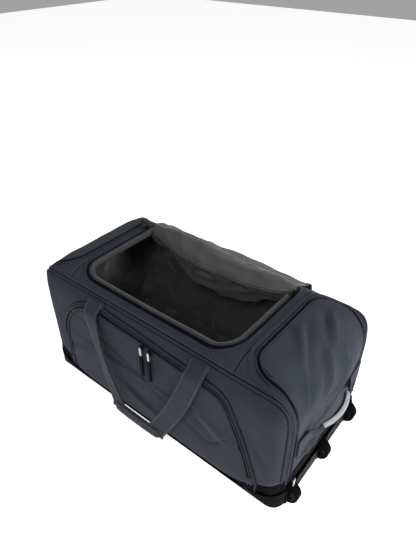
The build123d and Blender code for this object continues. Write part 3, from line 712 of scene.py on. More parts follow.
def woven(name, colour, rib=0.0033, depth=0.0004, spread=0.30, roughness=0.9, sheen=0.05, gloss=0.10):
    """Ribbed polyester: two sets of slanting yarns, with slubs and a faint unevenness of dye."""
    tree, shader = new_material(name, roughness, sheen=sheen)
    shader.inputs["Specular IOR Level"].default_value = gloss
    place = add_node(tree, "ShaderNodeTexCoord").outputs["Object"]
    turned = add_node(tree, "ShaderNodeMapping", [("Vector", place)], Scale=(1, -1, -1)).outputs[0]
    scale = 2 * pi / (10 * rib * sqrt(2))
    warp = add_node(
        tree, "ShaderNodeTexWave", [("Vector", turned)],
        wave_type="BANDS", bands_direction="DIAGONAL", Scale=scale, Distortion=0.8, Detail=1.0,
    ).outputs["Fac"]
    weft = add_node(
        tree, "ShaderNodeTexWave", [("Vector", place)],
        wave_type="BANDS", bands_direction="DIAGONAL", Scale=scale * 2.6, Distortion=0.8, Detail=1.0,
    ).outputs["Fac"]
    slub = add_node(tree, "ShaderNodeTexNoise", [("Vector", place)], Scale=420.0, Detail=2.0).outputs["Fac"]
    dye = add_node(tree, "ShaderNodeTexNoise", [("Vector", place)], Scale=17.0, Detail=4.0).outputs["Fac"]
    sums = {"kind": "ShaderNodeMath", "operation": "MULTIPLY_ADD"}
    both = add_node(tree, values=enumerate((weft, 0.35, warp)), **sums).outputs[0]
    yarn = add_node(tree, values=enumerate((both, 0.36, 0.0)), **sums).outputs[0]
    tone = add_node(tree, values=enumerate((slub, 0.35, yarn)), **sums).outputs[0]
    tone = add_node(tree, values=enumerate((dye, 0.3, tone)), **sums).outputs[0]
    tone = add_node(tree, values=enumerate((tone, 1.0, -0.08)), **sums).outputs[0]
    two_tone(tree, shader, tone, colour, spread)
    height = add_node(tree, values=enumerate((slub, 0.3, yarn)), **sums).outputs[0]
    bump = add_node(tree, "ShaderNodeBump", [("Height", height)], Strength=0.7, Distance=depth * 2)
    tree.links.new(bump.outputs[0], shader.inputs["Normal"])


def webbing(name, colour, rib=0.0016, roughness=0.7):
    """Woven tape: fine ribs across it and a soft sheen."""
    tree, shader = new_material(name, roughness, sheen=0.05)
    shader.inputs["Specular IOR Level"].default_value = 0.08
    place = add_node(tree, "ShaderNodeTexCoord").outputs["Object"]
    scale = 2 * pi / (20 * rib)
    rows = add_node(
        tree, "ShaderNodeTexWave", [("Vector", place)],
        wave_type="BANDS", bands_direction="Z", Scale=scale, Distortion=0.6,
    ).outputs["Fac"]
    cords = add_node(
        tree, "ShaderNodeTexWave", [("Vector", place)],
        wave_type="BANDS", bands_direction="DIAGONAL", Scale=scale, Distortion=0.6,
    ).outputs["Fac"]
    wear = add_node(tree, "ShaderNodeTexNoise", [("Vector", place)], Scale=60.0, Detail=5.0).outputs["Fac"]
    sums = {"kind": "ShaderNodeMath", "operation": "MULTIPLY_ADD"}
    yarn = add_node(tree, values=enumerate((rows, cords, 0.0)), **sums).outputs[0]
    dull = add_node(tree, values=enumerate((wear, 0.5, 0.0)), **sums).outputs[0]
    tone = add_node(tree, values=enumerate((yarn, 0.6, dull)), **sums).outputs[0]
    two_tone(tree, shader, tone, colour, 0.3)
    bump = add_node(tree, "ShaderNodeBump", [("Height", yarn)], Strength=0.8, Distance=0.0005)
    tree.links.new(bump.outputs[0], shader.inputs["Normal"])


def moulded(name, colour, roughness=0.35, grain=900.0, depth=0.00012, spread=0.15, gloss=0.04):
    """Moulded plastic or rubber: a fine stipple, with scuffs that dull it."""
    tree, shader = new_material(name, roughness, ior=1.46)
    shader.inputs["Specular IOR Level"].default_value = gloss
    place = add_node(tree, "ShaderNodeTexCoord").outputs["Object"]
    stipple = add_node(tree, "ShaderNodeTexNoise", [("Vector", place)], Scale=grain, Detail=2.0).outputs["Fac"]
    scuff = add_node(tree, "ShaderNodeTexNoise", [("Vector", place)], Scale=38.0, Detail=8.0).outputs["Fac"]
    two_tone(tree, shader, scuff, colour, spread)
    dulled = add_node(
        tree, "ShaderNodeMapRange", [("Value", scuff)],
        **{"From Min": 0.3, "From Max": 0.7, "To Min": roughness - 0.07, "To Max": roughness + 0.12},
    )
    tree.links.new(dulled.outputs[0], shader.inputs["Roughness"])
    bump = add_node(tree, "ShaderNodeBump", [("Height", stipple)], Strength=0.5, Distance=depth)
    tree.links.new(bump.outputs[0], shader.inputs["Normal"])


def metal(name, colour, roughness=0.3):
    """Plated metal with fine rubbing marks."""
    tree, shader = new_material(name, roughness, metallic=1.0)
    place = add_node(tree, "ShaderNodeTexCoord").outputs["Object"]
    long = add_node(tree, "ShaderNodeMapping", [("Vector", place)], Scale=(1, 1, 9)).outputs[0]
    marks = add_node(tree, "ShaderNodeTexNoise", [("Vector", long)], Scale=260.0, Detail=6.0).outputs["Fac"]
    two_tone(tree, shader, marks, colour, 0.18)
    rubbed = add_node(
        tree, "ShaderNodeMapRange", [("Value", marks)],
        **{"From Min": 0.3, "From Max": 0.7, "To Min": roughness - 0.1, "To Max": roughness + 0.12},
    )
    tree.links.new(rubbed.outputs[0], shader.inputs["Roughness"])


def thread(name, colour):
    """Twisted sewing thread."""
    tree, shader = new_material(name, 0.7, sheen=0.3)
    place = add_node(tree, "ShaderNodeTexCoord").outputs["Object"]
    twist = add_node(tree, "ShaderNodeTexNoise", [("Vector", place)], Scale=1500.0, Detail=2.0).outputs["Fac"]
    two_tone(tree, shader, twist, colour, 0.2)


# ---------------------------------------------------------------- sizes and colours a user may change
def length(name, description, default, low, high):
    """A size property in metres."""
    return FloatProperty(
        name=name, description=description, default=default, min=low, max=high,
        unit="LENGTH", subtype="DISTANCE",
    )


def colour(name, description, hex_colour):
    """A colour property."""
    return FloatVectorProperty(
        name=name, description=description, default=linear(hex_colour), min=0, max=1, size=3, subtype="COLOR",
    )


class DuffelSizes(bpy.types.PropertyGroup):
    """Sizes of the cloth and its trim"""

    cloth: length("Cloth", "Thickness of the padded outer cloth", 0.0016, 0.0008, 0.0028)
    lid_cloth: length("Lid cloth", "Thickness of the lined lid", 0.0026, 0.0015, 0.005)
    piping: length("Piping", "Radius of the piping cord", 0.0027, 0.0015, 0.004)
    zip_width: length("Zip width", "Width of a zip's two tapes together", 0.012, 0.008, 0.02)
    tooth: length("Zip pitch", "Distance from one zip tooth to the next", 0.0026, 0.0018, 0.005)
    stitch: length("Stitch", "Distance from one stitch to the next", 0.0042, 0.003, 0.008)
    strap: length("Strap", "Width of the carry handle webbing", 0.047, 0.03, 0.055)


class DuffelColours(bpy.types.PropertyGroup):
    """Colours of the cloth and trim"""

    shell: colour("Shell", "Slate outer cloth", "#292d36")
    # Lighter than the shell's colour: painted light, for the brighter light that falls on the end faces.
    end: colour("End panels", "Cloth of the end panels", "#2e323a")
    base: colour("Base", "Black cloth round the foot", "#070707")
    # The lid shows this colour; the body's lining takes a darker copy of it as painted shade.
    lining: colour("Lining", "Lining of the body and lid", "#3e3e3f")
    # This colour also serves the dark strips beside the seams, which are painted shade.
    trim: colour("Zips", "Zip tape and teeth", "#060709")
    strap: colour("Webbing", "Handle webbing", "#2a2e36")
    # Near-white edge webbing on the grips' tops: partly the tape's own colour, partly painted highlight.
    stripe: colour("Edge webbing", "Light edge of the end handles", "#a4a6aa")
    stitching: colour("Stitching", "Light stitching of the binding", "#64635f")
    plastic: colour("Plastic", "Moulded tray and housings", "#030303")
    metal: colour("Metal", "Zip sliders and pulls", "#b4b6ba")


def sizes():
    """The current sizes."""
    return bpy.context.scene.duffel_sizes


def own_names(group):
    """The names of a group's own properties."""
    return [name for name in group.bl_rna.properties.keys() if name not in ("rna_type", "name")]


def colours():
    """The current colours, by name."""
    group = bpy.context.scene.duffel_colours
    return {name: tuple(getattr(group, name)) for name in own_names(group)}


class DUFFEL_OT_finishes(bpy.types.Operator):
    """Makes every finish and gives the hard frame nodes theirs"""

    bl_idname = "duffel.finishes"
    bl_label = "Finishes"

    def execute(self, context):
        c = colours()
        # Polyester woven from thick textured yarns: dull, with slanting ribs and slightly uneven dye.
        # The ribs are about 1 mm apart and are drawn 3 mm apart, so that they show.
        woven("shell_polyester", c["shell"])
        # The end panels take a lighter colour than the shell: painted light on the end faces.
        woven("end_polyester", c["end"])
        woven("base_polyester", c["base"], rib=0.003, sheen=0.0, gloss=0.08)
        # Plain-woven nylon, pressed smooth: fine, and it shines softly along its folds.
        fine = {"rib": 0.0012, "depth": 0.0001, "spread": 0.12}
        # The body's lining is the lid's nylon made darker, painted shade of the inside of the bag; the lid's
        # copy keeps the lighter colour of its lit face.
        woven("lid_nylon", c["lining"], roughness=0.52, gloss=0.3, **fine)
        woven("lining_nylon", shade(c["lining"], 0.72)[:3], roughness=0.40, gloss=0.5, **fine)
        # Woven zip tape and binding: thin, close and matt.
        # The zip tape's cloth also dresses the dark strips beside the seams, which are painted shade.
        woven("zip_tape_cloth", c["trim"], rib=0.0010, depth=0.0001, roughness=0.7)
        woven("binding_tape", shade(c["lining"], 0.75)[:3], rib=0.0014, depth=0.0002, roughness=0.65)
        # Polypropylene webbing, woven tight: even ribs across the tape and a soft shine.
        webbing("strap_webbing", c["strap"])
        webbing("grip_webbing", shade(c["strap"], 1.1)[:3])
        # The near-white edge webbing is partly painted highlight along the grips' tops.
        webbing("stripe_webbing", c["stripe"])
        # Twisted polyester thread: short stitches a little lighter than what they hold.
        thread("light_thread", c["stitching"])
        thread("slate_thread", shade(c["shell"], 1.5)[:3])
        # Moulded plastics: a stippled skin, black and nearly without glare, dulled by scuffs.
        moulded("gloss_plastic", c["plastic"], roughness=0.45, depth=0.00006, gloss=0.02)
        moulded("zip_coil_plastic", shade(c["trim"], 1.3)[:3], roughness=0.4)
        moulded("skid_plastic", linear("#0a0a0a"), roughness=0.45)
        moulded("board_plastic", linear("#111111"), roughness=0.6)
        moulded("hub_plastic", linear("#0c0c0d"), roughness=0.35)
        # Moulded rubber: duller still, with a coarser grain.
        moulded("tyre_rubber", linear("#030303"), roughness=0.7, grain=500.0, depth=0.0003)
        moulded("pull_rubber", linear("#030303"), roughness=0.5, grain=700.0, depth=0.0002)
        # Nickel-plated zinc and turned steel: bright, with fine rubbing marks along them.
        metal("plated_metal", c["metal"], 0.28)
        metal("steel", linear("#9a9a9a"), 0.35)
        # Zinc under black enamel: dark and smooth, so that it looks like hard plastic.
        moulded("black_metal", linear("#0b0b0c"), roughness=0.3, depth=0.00003)
        finishes = (
            ("base_tray", "gloss_plastic"), ("wheel_housings", "gloss_plastic"), ("skid_rails", "skid_plastic"),
            ("base_board", "board_plastic"), ("base_rivets", "steel"), ("wheel_axles", "steel"),
            ("_bearings", "steel"), ("_tyre", "tyre_rubber"), ("_hub", "hub_plastic"),
            ("_slider", "black_metal"), ("mouth_pull", "black_metal"), ("end_pull", "plated_metal"),
            ("pull_link", "plated_metal"), ("pull_rubber", "pull_rubber"),
        )
        for name, obj in frame["nodes"].items():
            for key, finish in finishes:
                if key in name:
                    obj.data.materials.clear()
                    obj.data.materials.append(MATERIALS[finish])
        return {"FINISHED"}


# ---------------------------------------------------------------- body cloth
def side_seam(p):
    """Distance past the front and back seams."""
    return np.abs(p[..., 1]) - SIDE_SEAM_Y


def foot_seam(p):
    """Height above the base panel's top edge."""
    return p[..., 2] - foot_line(p[..., 0])


def top_seam(p):
    """Distance past the seams between the top panel and the gussets."""
    middle = (LEFT_SEAM_X + RIGHT_SEAM_X) / 2
    reach = np.abs(p[..., 0] - middle) - (RIGHT_SEAM_X - LEFT_SEAM_X) / 2
    return np.where((np.abs(p[..., 1]) < SIDE_SEAM_Y + 0.004) & (p[..., 2] > TOP / 2), reach, 1.0)


def right_arch(p):
    """Distance outside the right end panel."""
    return arch_distance(p, 1)


def left_arch(p):
    """Distance outside the left end panel."""
    return arch_distance(p, -1)


SEAMS = (side_seam, foot_seam, top_seam, right_arch, left_arch, mouth_distance, pocket_distance)


def seamed_grid(step, functions):
    """The form's grid with its points drawn onto the seams, and faces cut along them."""
    points, quads = form_grid(step)
    for function in functions:
        points = snap(points, function, step * 0.56)
    splits = np.zeros(len(quads), int)
    for function in functions:
        value = function(points)[quads]
        flat = np.abs(value) < step * 0.08
        one = flat[:, 0] & flat[:, 2] & (value[:, 1] * value[:, 3] < 0)
        two = flat[:, 1] & flat[:, 3] & (value[:, 0] * value[:, 2] < 0)
        splits = np.where(splits == 0, np.where(one, 1, np.where(two, 2, 0)), splits)
    a = quads[splits == 1]
    b = quads[splits == 2]
    halves = a[:, (0, 1, 2, 2)], a[:, (0, 2, 3, 3)], b[:, (0, 1, 3, 3)], b[:, (1, 2, 3, 3)]
    return points, np.vstack((quads[splits == 0],) + halves)


def housing_wells(p, grow=0.0005):
    """Whether points lie in the wells of the wheel housings."""
    low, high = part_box("wheel_housings")
    inside = (p[..., 0] > low[0] - grow) & (p[..., 2] < high[2] + grow)
    near = np.zeros(p.shape[:-1], bool)
    for wheel in ("front_wheel_spin", "centre_wheel_spin", "back_wheel_spin"):
        near |= np.abs(p[..., 1] - JOINTS[wheel]["pos_m"][1]) < 0.020 + grow
    return inside & near


class DUFFEL_OT_body(bpy.types.Operator):
    """Sews the outer cloth: front, back, top, gussets, ends, base and front pocket"""

    bl_idname = "duffel.body"
    bl_label = "Body cloth"

    def execute(self, context):
        points, faces = seamed_grid(CLOTH_GRID, SEAMS)
        centres = points[faces].mean(axis=1)
        x, y, z = centres.T
        below = z < foot_line(x)
        right = right_arch(centres) < 0
        left = left_arch(centres) < 0
        mouth = mouth_distance(centres) < 0
        pocket = pocket_distance(centres) < 0
        side = np.abs(y) > SIDE_SEAM_Y
        top = (x > LEFT_SEAM_X) & (x < RIGHT_SEAM_X) & (z > TOP / 2)
        open_above = ~below & ~mouth
        shell = open_above & ~right & ~left
        panels = (
            ("base_cloth", below & ~housing_wells(centres), "base", "base_panel"),
            ("right_end_cloth", open_above & right, "end", "right_end_panel"),
            ("left_end_cloth", open_above & left & ~right, "end", "left_end_panel"),
            ("pocket_cloth", open_above & pocket, "shell", "front_pocket"),
            ("front_cloth", shell & side & (y < 0) & ~pocket, "shell", "front_panel"),
            ("back_cloth", shell & side & (y > 0), "shell", "back_panel"),
            ("top_cloth", shell & ~side & top & ~pocket, "shell", "top_panel"),
            ("right_gusset_cloth", shell & ~side & ~top & (x > 0) & ~pocket, "shell", "right_gusset"),
            ("left_gusset_cloth", shell & ~side & ~top & (x < 0) & ~pocket, "shell", "left_gusset"),
        )
        moved = cloth_points(points)
        for name, keep, kind, node in panels:
            verts, kept = part_of_grid(moved, faces, keep)
            mesh = verts, tidy_faces(kept)
            piece(name, mesh, kind + "_polyester", "bag", (node,), (sizes().cloth,))
        return {"FINISHED"}


def lining_folds(p):
    """Slack of the lining inside the body."""
    broad = waves(p * (1.0, 0.7, 0.55), 1)
    fine = waves(p * (1.0, 0.7, 0.6), 2)
    return 0.008 * broad - 0.013 * np.abs(broad) - 0.006 * np.abs(fine)


class DUFFEL_OT_lining(bpy.types.Operator):
    """Hangs the slack lining inside the body"""

    bl_idname = "duffel.lining"
    bl_label = "Lining"

    def execute(self, context):
        points, quads = form_grid(LINING_GRID, LINING_GRID)
        centres = points[quads].mean(axis=1)
        keep = ~((mouth_distance(centres) < 0.001) | housing_wells(centres, 0.012))
        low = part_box("base_board")[1][2]
        keep &= (centres[:, 2] > low + 0.002)
        inward = np.minimum(lining_folds(points) - 0.009, 0)
        near_mouth = np.exp(-((mouth_distance(points) / 0.03) ** 2))
        inward = inward * (1 - near_mouth)
        points = points + normals_at(points) * inward[:, None]
        verts, kept = part_of_grid(points, quads, keep)
        mesh = verts, tidy_faces(kept[:, ::-1])
        # Its darker copy of the nylon is painted shade of the bag's inside.
        piece("lining_cloth", mesh, "lining_nylon", "bag", ("lining",), (LINING_T, 1.0))
        return {"FINISHED"}


# ---------------------------------------------------------------- seams, piping and zips
def on_form(points, direction):
    """Points outside the form moved along a direction onto it."""
    return march(points, np.broadcast_to(np.asarray(direction, float), points.shape))


def lifted(points, lift):
    """Points of the form moved out to lie above the cloth, and the cloth's normals there."""
    return cloth_points(points, lift), cloth_normals(points)


def side_seam_path(side):
    """The front or back seam, from one end of the foot over the top to the other."""
    reach_x, reach_z = HALF_L + 0.03, TOP + 0.03
    rows = []
    for z in np.linspace(FOOT + 0.01, reach_z, 90):
        rows.append((-reach_x, z))
    for x in np.linspace(-reach_x, reach_x, 200)[1:]:
        rows.append((x, reach_z))
    for z in np.linspace(reach_z, FOOT + 0.01, 90)[1:]:
        rows.append((reach_x, z))
    outline = np.array(rows)
    points = np.stack((outline[:, 0], np.full(len(outline), side * SIDE_SEAM_Y), outline[:, 1]), axis=1)
    core = np.clip(points, (-HALF_L + 0.13, -1, FOOT + 0.06), (HALF_L - 0.13, 1, TOP - 0.13))
    points = march(points, points - core)
    points[:, 1] = side * SIDE_SEAM_Y
    line = resample(points, PATH_STEP)
    return line[line[:, 2] > foot_line(line[:, 0]) + 0.001]


def arch_path(way, foot_z, offset=0.0):
    """The zip line of an end panel."""
    high = (TOP - ARCH_TOP[way]) / sqrt(2) + offset
    low = (foot_z - HALF_L) / sqrt(2)
    half = ARCH_HALF_Y + offset
    radius = ARCH_R + offset
    turn = np.linspace(0, pi / 2, 16)
    rows = [(-half, low)]
    rows += [(-half + radius - radius * cos(t), high - radius + radius * sin(t)) for t in turn]
    rows += [(half - radius + radius * sin(t), high - radius + radius * cos(t)) for t in turn]
    rows += [(half, low)]
    outline = resample(np.array(rows), PATH_STEP)
    y, across = outline.T
    out = 0.6
    points = np.stack((way * (out - across / sqrt(2)), y, out + across / sqrt(2)), axis=1)
    return on_form(points, (way, 0, 1))


def mouth_path(offset):
    """A line round the mouth, offset outwards."""
    low_x, low_y, high_x, high_y = MOUTH_LOW[0], MOUTH_LOW[1], MOUTH_HIGH[0], MOUTH_HIGH[1]
    corners = ((low_x, low_y), (high_x, low_y), (high_x, high_y), (low_x, high_y))
    radii = (MOUTH_FRONT_R, MOUTH_FRONT_R, MOUTH_BACK_R, MOUTH_BACK_R)
    outline = inset_outline(resample(filleted(corners, radii), PATH_STEP, closed=True), -offset)
    points = np.column_stack((outline, np.full(len(outline), TOP + 0.05)))
    return on_form(points, (0, 0, 1))


def pocket_path(inset, foot_z):
    """A line inside the front pocket's edge, above a height."""
    outline = resample(inset_outline(POCKET_OUTLINE, inset), PATH_STEP, closed=True)
    above = outline[:, 1] > foot_z
    start = np.flatnonzero(above & ~np.roll(above, 1))[0]
    outline = np.roll(outline, -start, axis=0)
    outline = outline[: np.count_nonzero(above)]
    points = np.stack((outline[:, 0], np.full(len(outline), -0.3), outline[:, 1]), axis=1)
    return on_form(points, (0, -1, 0))


def smooth_line(values, closed, passes=2):
    """Values along a line, evened out."""
    for _ in range(passes):
        if closed:
            values = (np.roll(values, 1, axis=0) + 2 * values + np.roll(values, -1, axis=0)) / 4
        else:
            values = values.copy()
            values[1:-1] = (values[:-2] + 2 * values[1:-1] + values[2:]) / 4
    return values


def sew_zip(name, path, closed, nodes, lift=0.0008, stitched=True):
    """A zip: its tape, its coil and the stitching along both edges."""
    width, tooth = sizes().zip_width, sizes().tooth
    points, normals = lifted(path, lift)
    points = smooth_line(points, closed)
    normals = unit(smooth_line(normals, closed))
    tape = ribbon(points, normals, width, TAPE_T, closed)
    piece(name + "_tape", tape, "zip_tape_cloth", "bag", nodes)
    size = (tooth * TOOTH_SHARE, 0.0042, 0.0013)
    coil = stitches(points, normals, size, closed, (TOOTH_SHIFT, -TOOTH_SHIFT), SEWN_LIFT, tooth)
    sew(name + "_coil", coil, "zip_coil_plastic", "bag")
    if stitched:
        edge = width / 2 - 0.0016
        rows = [stitches(points, normals, EDGE_STITCH, closed, way * edge, SEWN_LIFT) for way in (-1, 1)]
        sew(name + "_stitching", join(*rows), "slate_thread", "bag")


def beside(path, closed, shift, lift):
    """A line shifted sideways along the cloth, with its normals."""
    points, normals = lifted(path, lift)
    side = np.cross(line_tangents(points, closed), normals)
    return smooth_line(points + side * shift, closed), normals


def painted_seam_shade(name, path, closed, shift=0.0, width=0.0028):
    """A dark strip beside a seam: painted shade of the groove there."""
    points, normals = beside(path, closed, shift, 0.0005)
    edge = ribbon(points, normals, width, EDGE_T, closed, columns=3)
    piece(name, edge, "zip_tape_cloth", "bag")


def welt(name, path, closed, shift=0.0, radius=0.0018, lift=0.0008):
    """A narrow covered cord along a seam."""
    points, normals = beside(path, closed, shift, lift)
    piece(name, tube(points, radius, closed, ups=normals), "shell_polyester", "bag")


def sew_line(name, path, shift):
    """A line of stitches on the cloth."""
    sew(name, stitches(*lifted(path, SEWN_LIFT), STITCH, shift=shift), "slate_thread", "bag")


class DUFFEL_OT_piping(bpy.types.Operator):
    """Lays the piping on the front and back seams and stitches beside it"""

    bl_idname = "duffel.piping"
    bl_label = "Piping"

    def execute(self, context):
        radius = sizes().piping
        for name, side in (("front", -1), ("back", 1)):
            path = side_seam_path(side)
            points, normals = lifted(path, radius * 0.55)
            cord = tube(points, radius, ups=normals)
            piece(name + "_piping_cord", cord, "shell_polyester", "bag", (name + "_piping",))
            # Dark strips on both sides of the piping: painted shade of its grooves.
            for way, mark in ((-1, "a"), (1, "b")):
                painted_seam_shade(name + "_seam_edge_" + mark, path, False, way * 0.0037)
            sew_line(name + "_seam_stitching", path, side * 0.0075)
        welt("mouth_outer_welt", mouth_path(0.0135), True, radius=0.0020)
        welt("mouth_rim_cord", mouth_path(0.0022), True, radius=0.0022, lift=0.0004)
        for way, name in ((-1, "left"), (1, "right")):
            ys = np.linspace(-SIDE_SEAM_Y + 0.003, SIDE_SEAM_Y - 0.003, 90)
            seam = RIGHT_SEAM_X if way > 0 else LEFT_SEAM_X
            line = on_form(np.stack((np.full(90, seam), ys, np.full(90, TOP + 0.05)), axis=1), (0, 0, 1))
            # A dark strip along the gusset seam: painted shade of its groove.
            painted_seam_shade(name + "_gusset_seam", line, False, 0.0, 0.0018)
            sew_line(name + "_gusset_stitching", line, 0.004 * way)
        return {"FINISHED"}


class DUFFEL_OT_zips(bpy.types.Operator):
    """Sews in the zips of the ends and the front pocket, with the pocket's tabs and yoke seam"""

    bl_idname = "duffel.zips"
    bl_label = "Zips"

    def execute(self, context):
        for name, way in (("left", -1), ("right", 1)):
            path = arch_path(way, END_ZIP_FOOT_Z)
            sew_zip(name + "_end", path, False, (name + "_end_zip",))
            for turn, mark in ((-1, "a"), (1, "b")):
                welt(name + "_end_welt_" + mark, path, False, turn * 0.0048)
                # Dark strips outside the welts: painted shade of the grooves there.
                painted_seam_shade(name + "_end_edge_" + mark, path, False, turn * 0.0078)
            welt(name + "_end_outer_welt", arch_path(way, END_ZIP_FOOT_Z, 0.0125), False, radius=0.0016)
        path = pocket_path(POCKET_ZIP_INSET, POCKET_ZIP_FOOT_Z)
        sew_zip("pocket", path, False, ("front_pocket_zip",), 0.0012)
        tabs = []
        for end in (path[0], path[-1]):
            x, z = np.meshgrid(np.linspace(-0.010, 0.010, 9), np.linspace(-0.010, 0.011, 9))
            flat = np.stack((end[0] + x, np.full(x.shape, -0.3), end[2] - 0.004 + z), axis=-1).reshape(-1, 3)
            tabs.append((cloth_points(on_form(flat, (0, -1, 0)), 0.0028), grid_faces(9, 9, flip=True)))
        nodes = ("zip_garages",)
        piece("zip_garage_tabs", join(*tabs), "shell_polyester", "bag", nodes, (GARAGE_T,))
        xs = np.linspace(-0.262, 0.236, 180)
        start = np.stack((xs, np.full(180, -0.3), yoke_line(xs)), axis=1)
        yoke = on_form(start, (0, -1, 0))
        sew_line("yoke_stitching", yoke, 0.0035)
        sew_line("yoke_stitching_b", yoke, 0.0065)
        # A dark strip along the yoke seam: painted shade of its groove.
        painted_seam_shade("yoke_seam", yoke, False, 0.0, 0.0018)
        welt("pocket_outer_welt", pocket_path(-0.0005, 0.030), False, 0.0, 0.0024, 0.0024)
        welt("pocket_inner_welt", pocket_path(0.0170, 0.045), False, 0.0, 0.0018, 0.0010)
        # Dark strips beside the pocket's welts: painted shade of their grooves.
        painted_seam_shade("pocket_inner_edge", pocket_path(0.0195, 0.045), False, 0.0)
        painted_seam_shade("pocket_outer_edge", pocket_path(-0.0040, 0.030), False, 0.0)
        return {"FINISHED"}


class DUFFEL_OT_mouth(bpy.types.Operator):
    """Finishes the mouth with its zip, its stitched binding and the lining's turned edge"""

    bl_idname = "duffel.mouth"
    bl_label = "Mouth"

    def execute(self, context):
        sew_zip("mouth", mouth_path(0.0062), True, ("mouth_zip",), stitched=False)
        rim = mouth_path(0.0)
        top = cloth_points(rim, 0.0022)
        outer = cloth_points(mouth_path(0.0010), 0.0016)
        inward = unit(np.column_stack(((rim - mouth_path(0.002))[:, :2], np.zeros(len(rim)))))
        facing = 0.0095 * smoothstep((0.115 - rim[:, 1:2]) / 0.03) + 0.002
        near = top + inward * facing * 0.45 - (0, 0, 0.0010)
        middle = top + inward * facing - (0, 0, 0.0035)
        far = top + inward * facing * 1.05 - (0, 0, 0.0075)
        low = rim + inward * 0.004 - (0, 0, 0.018)
        ring = np.stack((outer, top, near, middle, far, low), axis=1)
        mesh = ring.reshape(-1, 3), grid_faces(*ring.shape[:2], around_n=True)
        piece("mouth_edge_binding", mesh, "binding_tape", "bag", ("mouth_binding",), (BINDING_T,))
        up = np.broadcast_to((0, 0, 1.0), near.shape)
        sewn = stitches(near, up, RIM_STITCH, True, lift=0.0007)
        sew("mouth_binding_stitching", sewn, "light_thread", "bag")
        return {"FINISHED"}


# ---------------------------------------------------------------- lid
LID_X = (LID_TIP[0][0], LID_TIP[1][0])


def lid_profile(x):
    """Y and Z of the open lid's cloth at one place along the bag, from its inner seam to its free end."""
    share = np.clip((x - LID_X[0]) / (LID_X[1] - LID_X[0]), 0, 1)
    bow = sin(pi * min(share * 1.02, 1.0)) ** 0.8
    seam_y = 0.118 - 0.034 * bow - 0.010 * share
    seam_z = TOP - 0.006 - 0.016 * bow
    sag = 0.016 * smoothstep(share * 1.3 - 0.25)
    hinge_y, hinge_z = LID_HINGE[1], LID_HINGE[2]
    fold_y, fold_z = LID_FOLD[1], LID_FOLD[2]
    tip_y, tip_z = LID_TIP[1][1] - 0.001, LID_TIP[0][2] + 0.001
    curtain = 0.030 + 0.060 * bow
    anchors = (
        (min(seam_y + 0.024, LID_HINGE[1] - 0.016), seam_z - curtain),
        (min(seam_y + 0.006, LID_HINGE[1] - 0.018), seam_z - curtain * 0.5),
        (seam_y, seam_z),
        ((seam_y + hinge_y) / 2, (seam_z + hinge_z) / 2 + 0.004 - sag * 0.3),
        (hinge_y, hinge_z + 0.001 - sag * 0.45),
        (hinge_y + 0.028, hinge_z - 0.009 - sag * 0.7),
        (fold_y - 0.030, fold_z + 0.017 - sag * 0.4),
        (fold_y - 0.003, fold_z - 0.001),
        (fold_y + 0.006, fold_z - 0.022),
        (fold_y + 0.3 * (tip_y - fold_y) + 0.004, fold_z + 0.3 * (tip_z - fold_z)),
        (fold_y + 0.6 * (tip_y - fold_y) + 0.002, fold_z + 0.6 * (tip_z - fold_z)),
        (tip_y, tip_z),
    )
    return np.array(anchors)


def spline(anchors, count):
    """Evenly spaced points on a smooth curve through some anchors."""
    rows = []
    padded = np.vstack((2 * anchors[0] - anchors[1], anchors, 2 * anchors[-1] - anchors[-2]))
    for k in range(1, len(padded) - 2):
        a, b, c, d = padded[k - 1 : k + 3]
        for t in np.linspace(0, 1, 12, endpoint=False):
            square, cube = 2 * a - 5 * b + 4 * c - d, 3 * b - a - 3 * c + d
            rows.append(0.5 * (2 * b + (c - a) * t + square * t**2 + cube * t**3))
    rows.append(anchors[-1])
    rows = np.array(rows)
    lengths = np.concatenate(((0,), np.cumsum(np.linalg.norm(np.diff(rows, axis=0), axis=1))))
    marks = np.linspace(0, lengths[-1], count)
    return np.stack([np.interp(marks, lengths, rows[:, k]) for k in range(rows.shape[1])], axis=1), lengths[-1]


def lid_half_width(z):
    """How far the free end's round corners draw the lid's sides in."""
    corner = MOUTH_FRONT_R
    rise = np.clip((z - LID_TIP[0][2]) / corner, 0, 1)
    return corner * (1 - np.sqrt(np.clip(1 - (1 - rise) ** 2, 0, 1)))


def lid_grid(columns=110, rows=110):
    """The open lid's cloth as a grid of points, and the mean length of its profile."""
    grid = []
    lengths = []
    for x in np.linspace(LID_X[0], LID_X[1], columns):
        line, total = spline(lid_profile(x), rows)
        lengths.append(total)
        grid.append(np.column_stack((np.full(rows, x), line)))
    grid = np.array(grid)
    middle = (LID_X[0] + LID_X[1]) / 2
    half = (LID_X[1] - LID_X[0]) / 2
    draw = np.where(grid[..., 1] > LID_FOLD[1], lid_half_width(grid[..., 2]), 0.0)
    grid[..., 0] = middle + (grid[..., 0] - middle) * (half - draw) / half
    return grid, float(np.mean(lengths))


def grid_normals(grid):
    """Normals of a grid of points."""
    return unit(np.cross(np.gradient(grid, axis=0), np.gradient(grid, axis=1)))


def lid_wrinkles(grid):
    """Soft folds of the lid's cloth, lying mostly along its hinge."""
    stretched = grid * (0.45, 1.0, 1.0)
    folds = 0.0042 * waves(stretched, 1) - 0.0040 * np.abs(waves(stretched, 2))
    slack = smoothstep((0.345 - grid[..., 2]) / 0.03) * (grid[..., 1] < 0.128)
    folds = folds * (1 + 1.6 * slack)
    ridge = crease(grid, (-0.24, 0.130, 0.366), (0.02, 0.150, 0.356), 0.012, 0.0035)
    ridge += crease(grid, (0.02, 0.120, 0.355), (0.19, 0.150, 0.340), 0.012, -0.0035)
    ridge += crease(grid, (0.10, 0.100, 0.350), (0.20, 0.190, 0.325), 0.014, 0.0030)
    return folds + ridge


def cloth_sheet(name, grid, finishes):
    """A lined sheet from a grid of points: its face, its back and its edge."""
    obj = mesh_object(name, grid.reshape(-1, 3), grid_faces(*grid.shape[:2]), finishes[0])
    for finish in finishes[1:]:
        obj.data.materials.append(MATERIALS[finish])
    thicken(obj, sizes().lid_cloth, 0.0)
    return obj


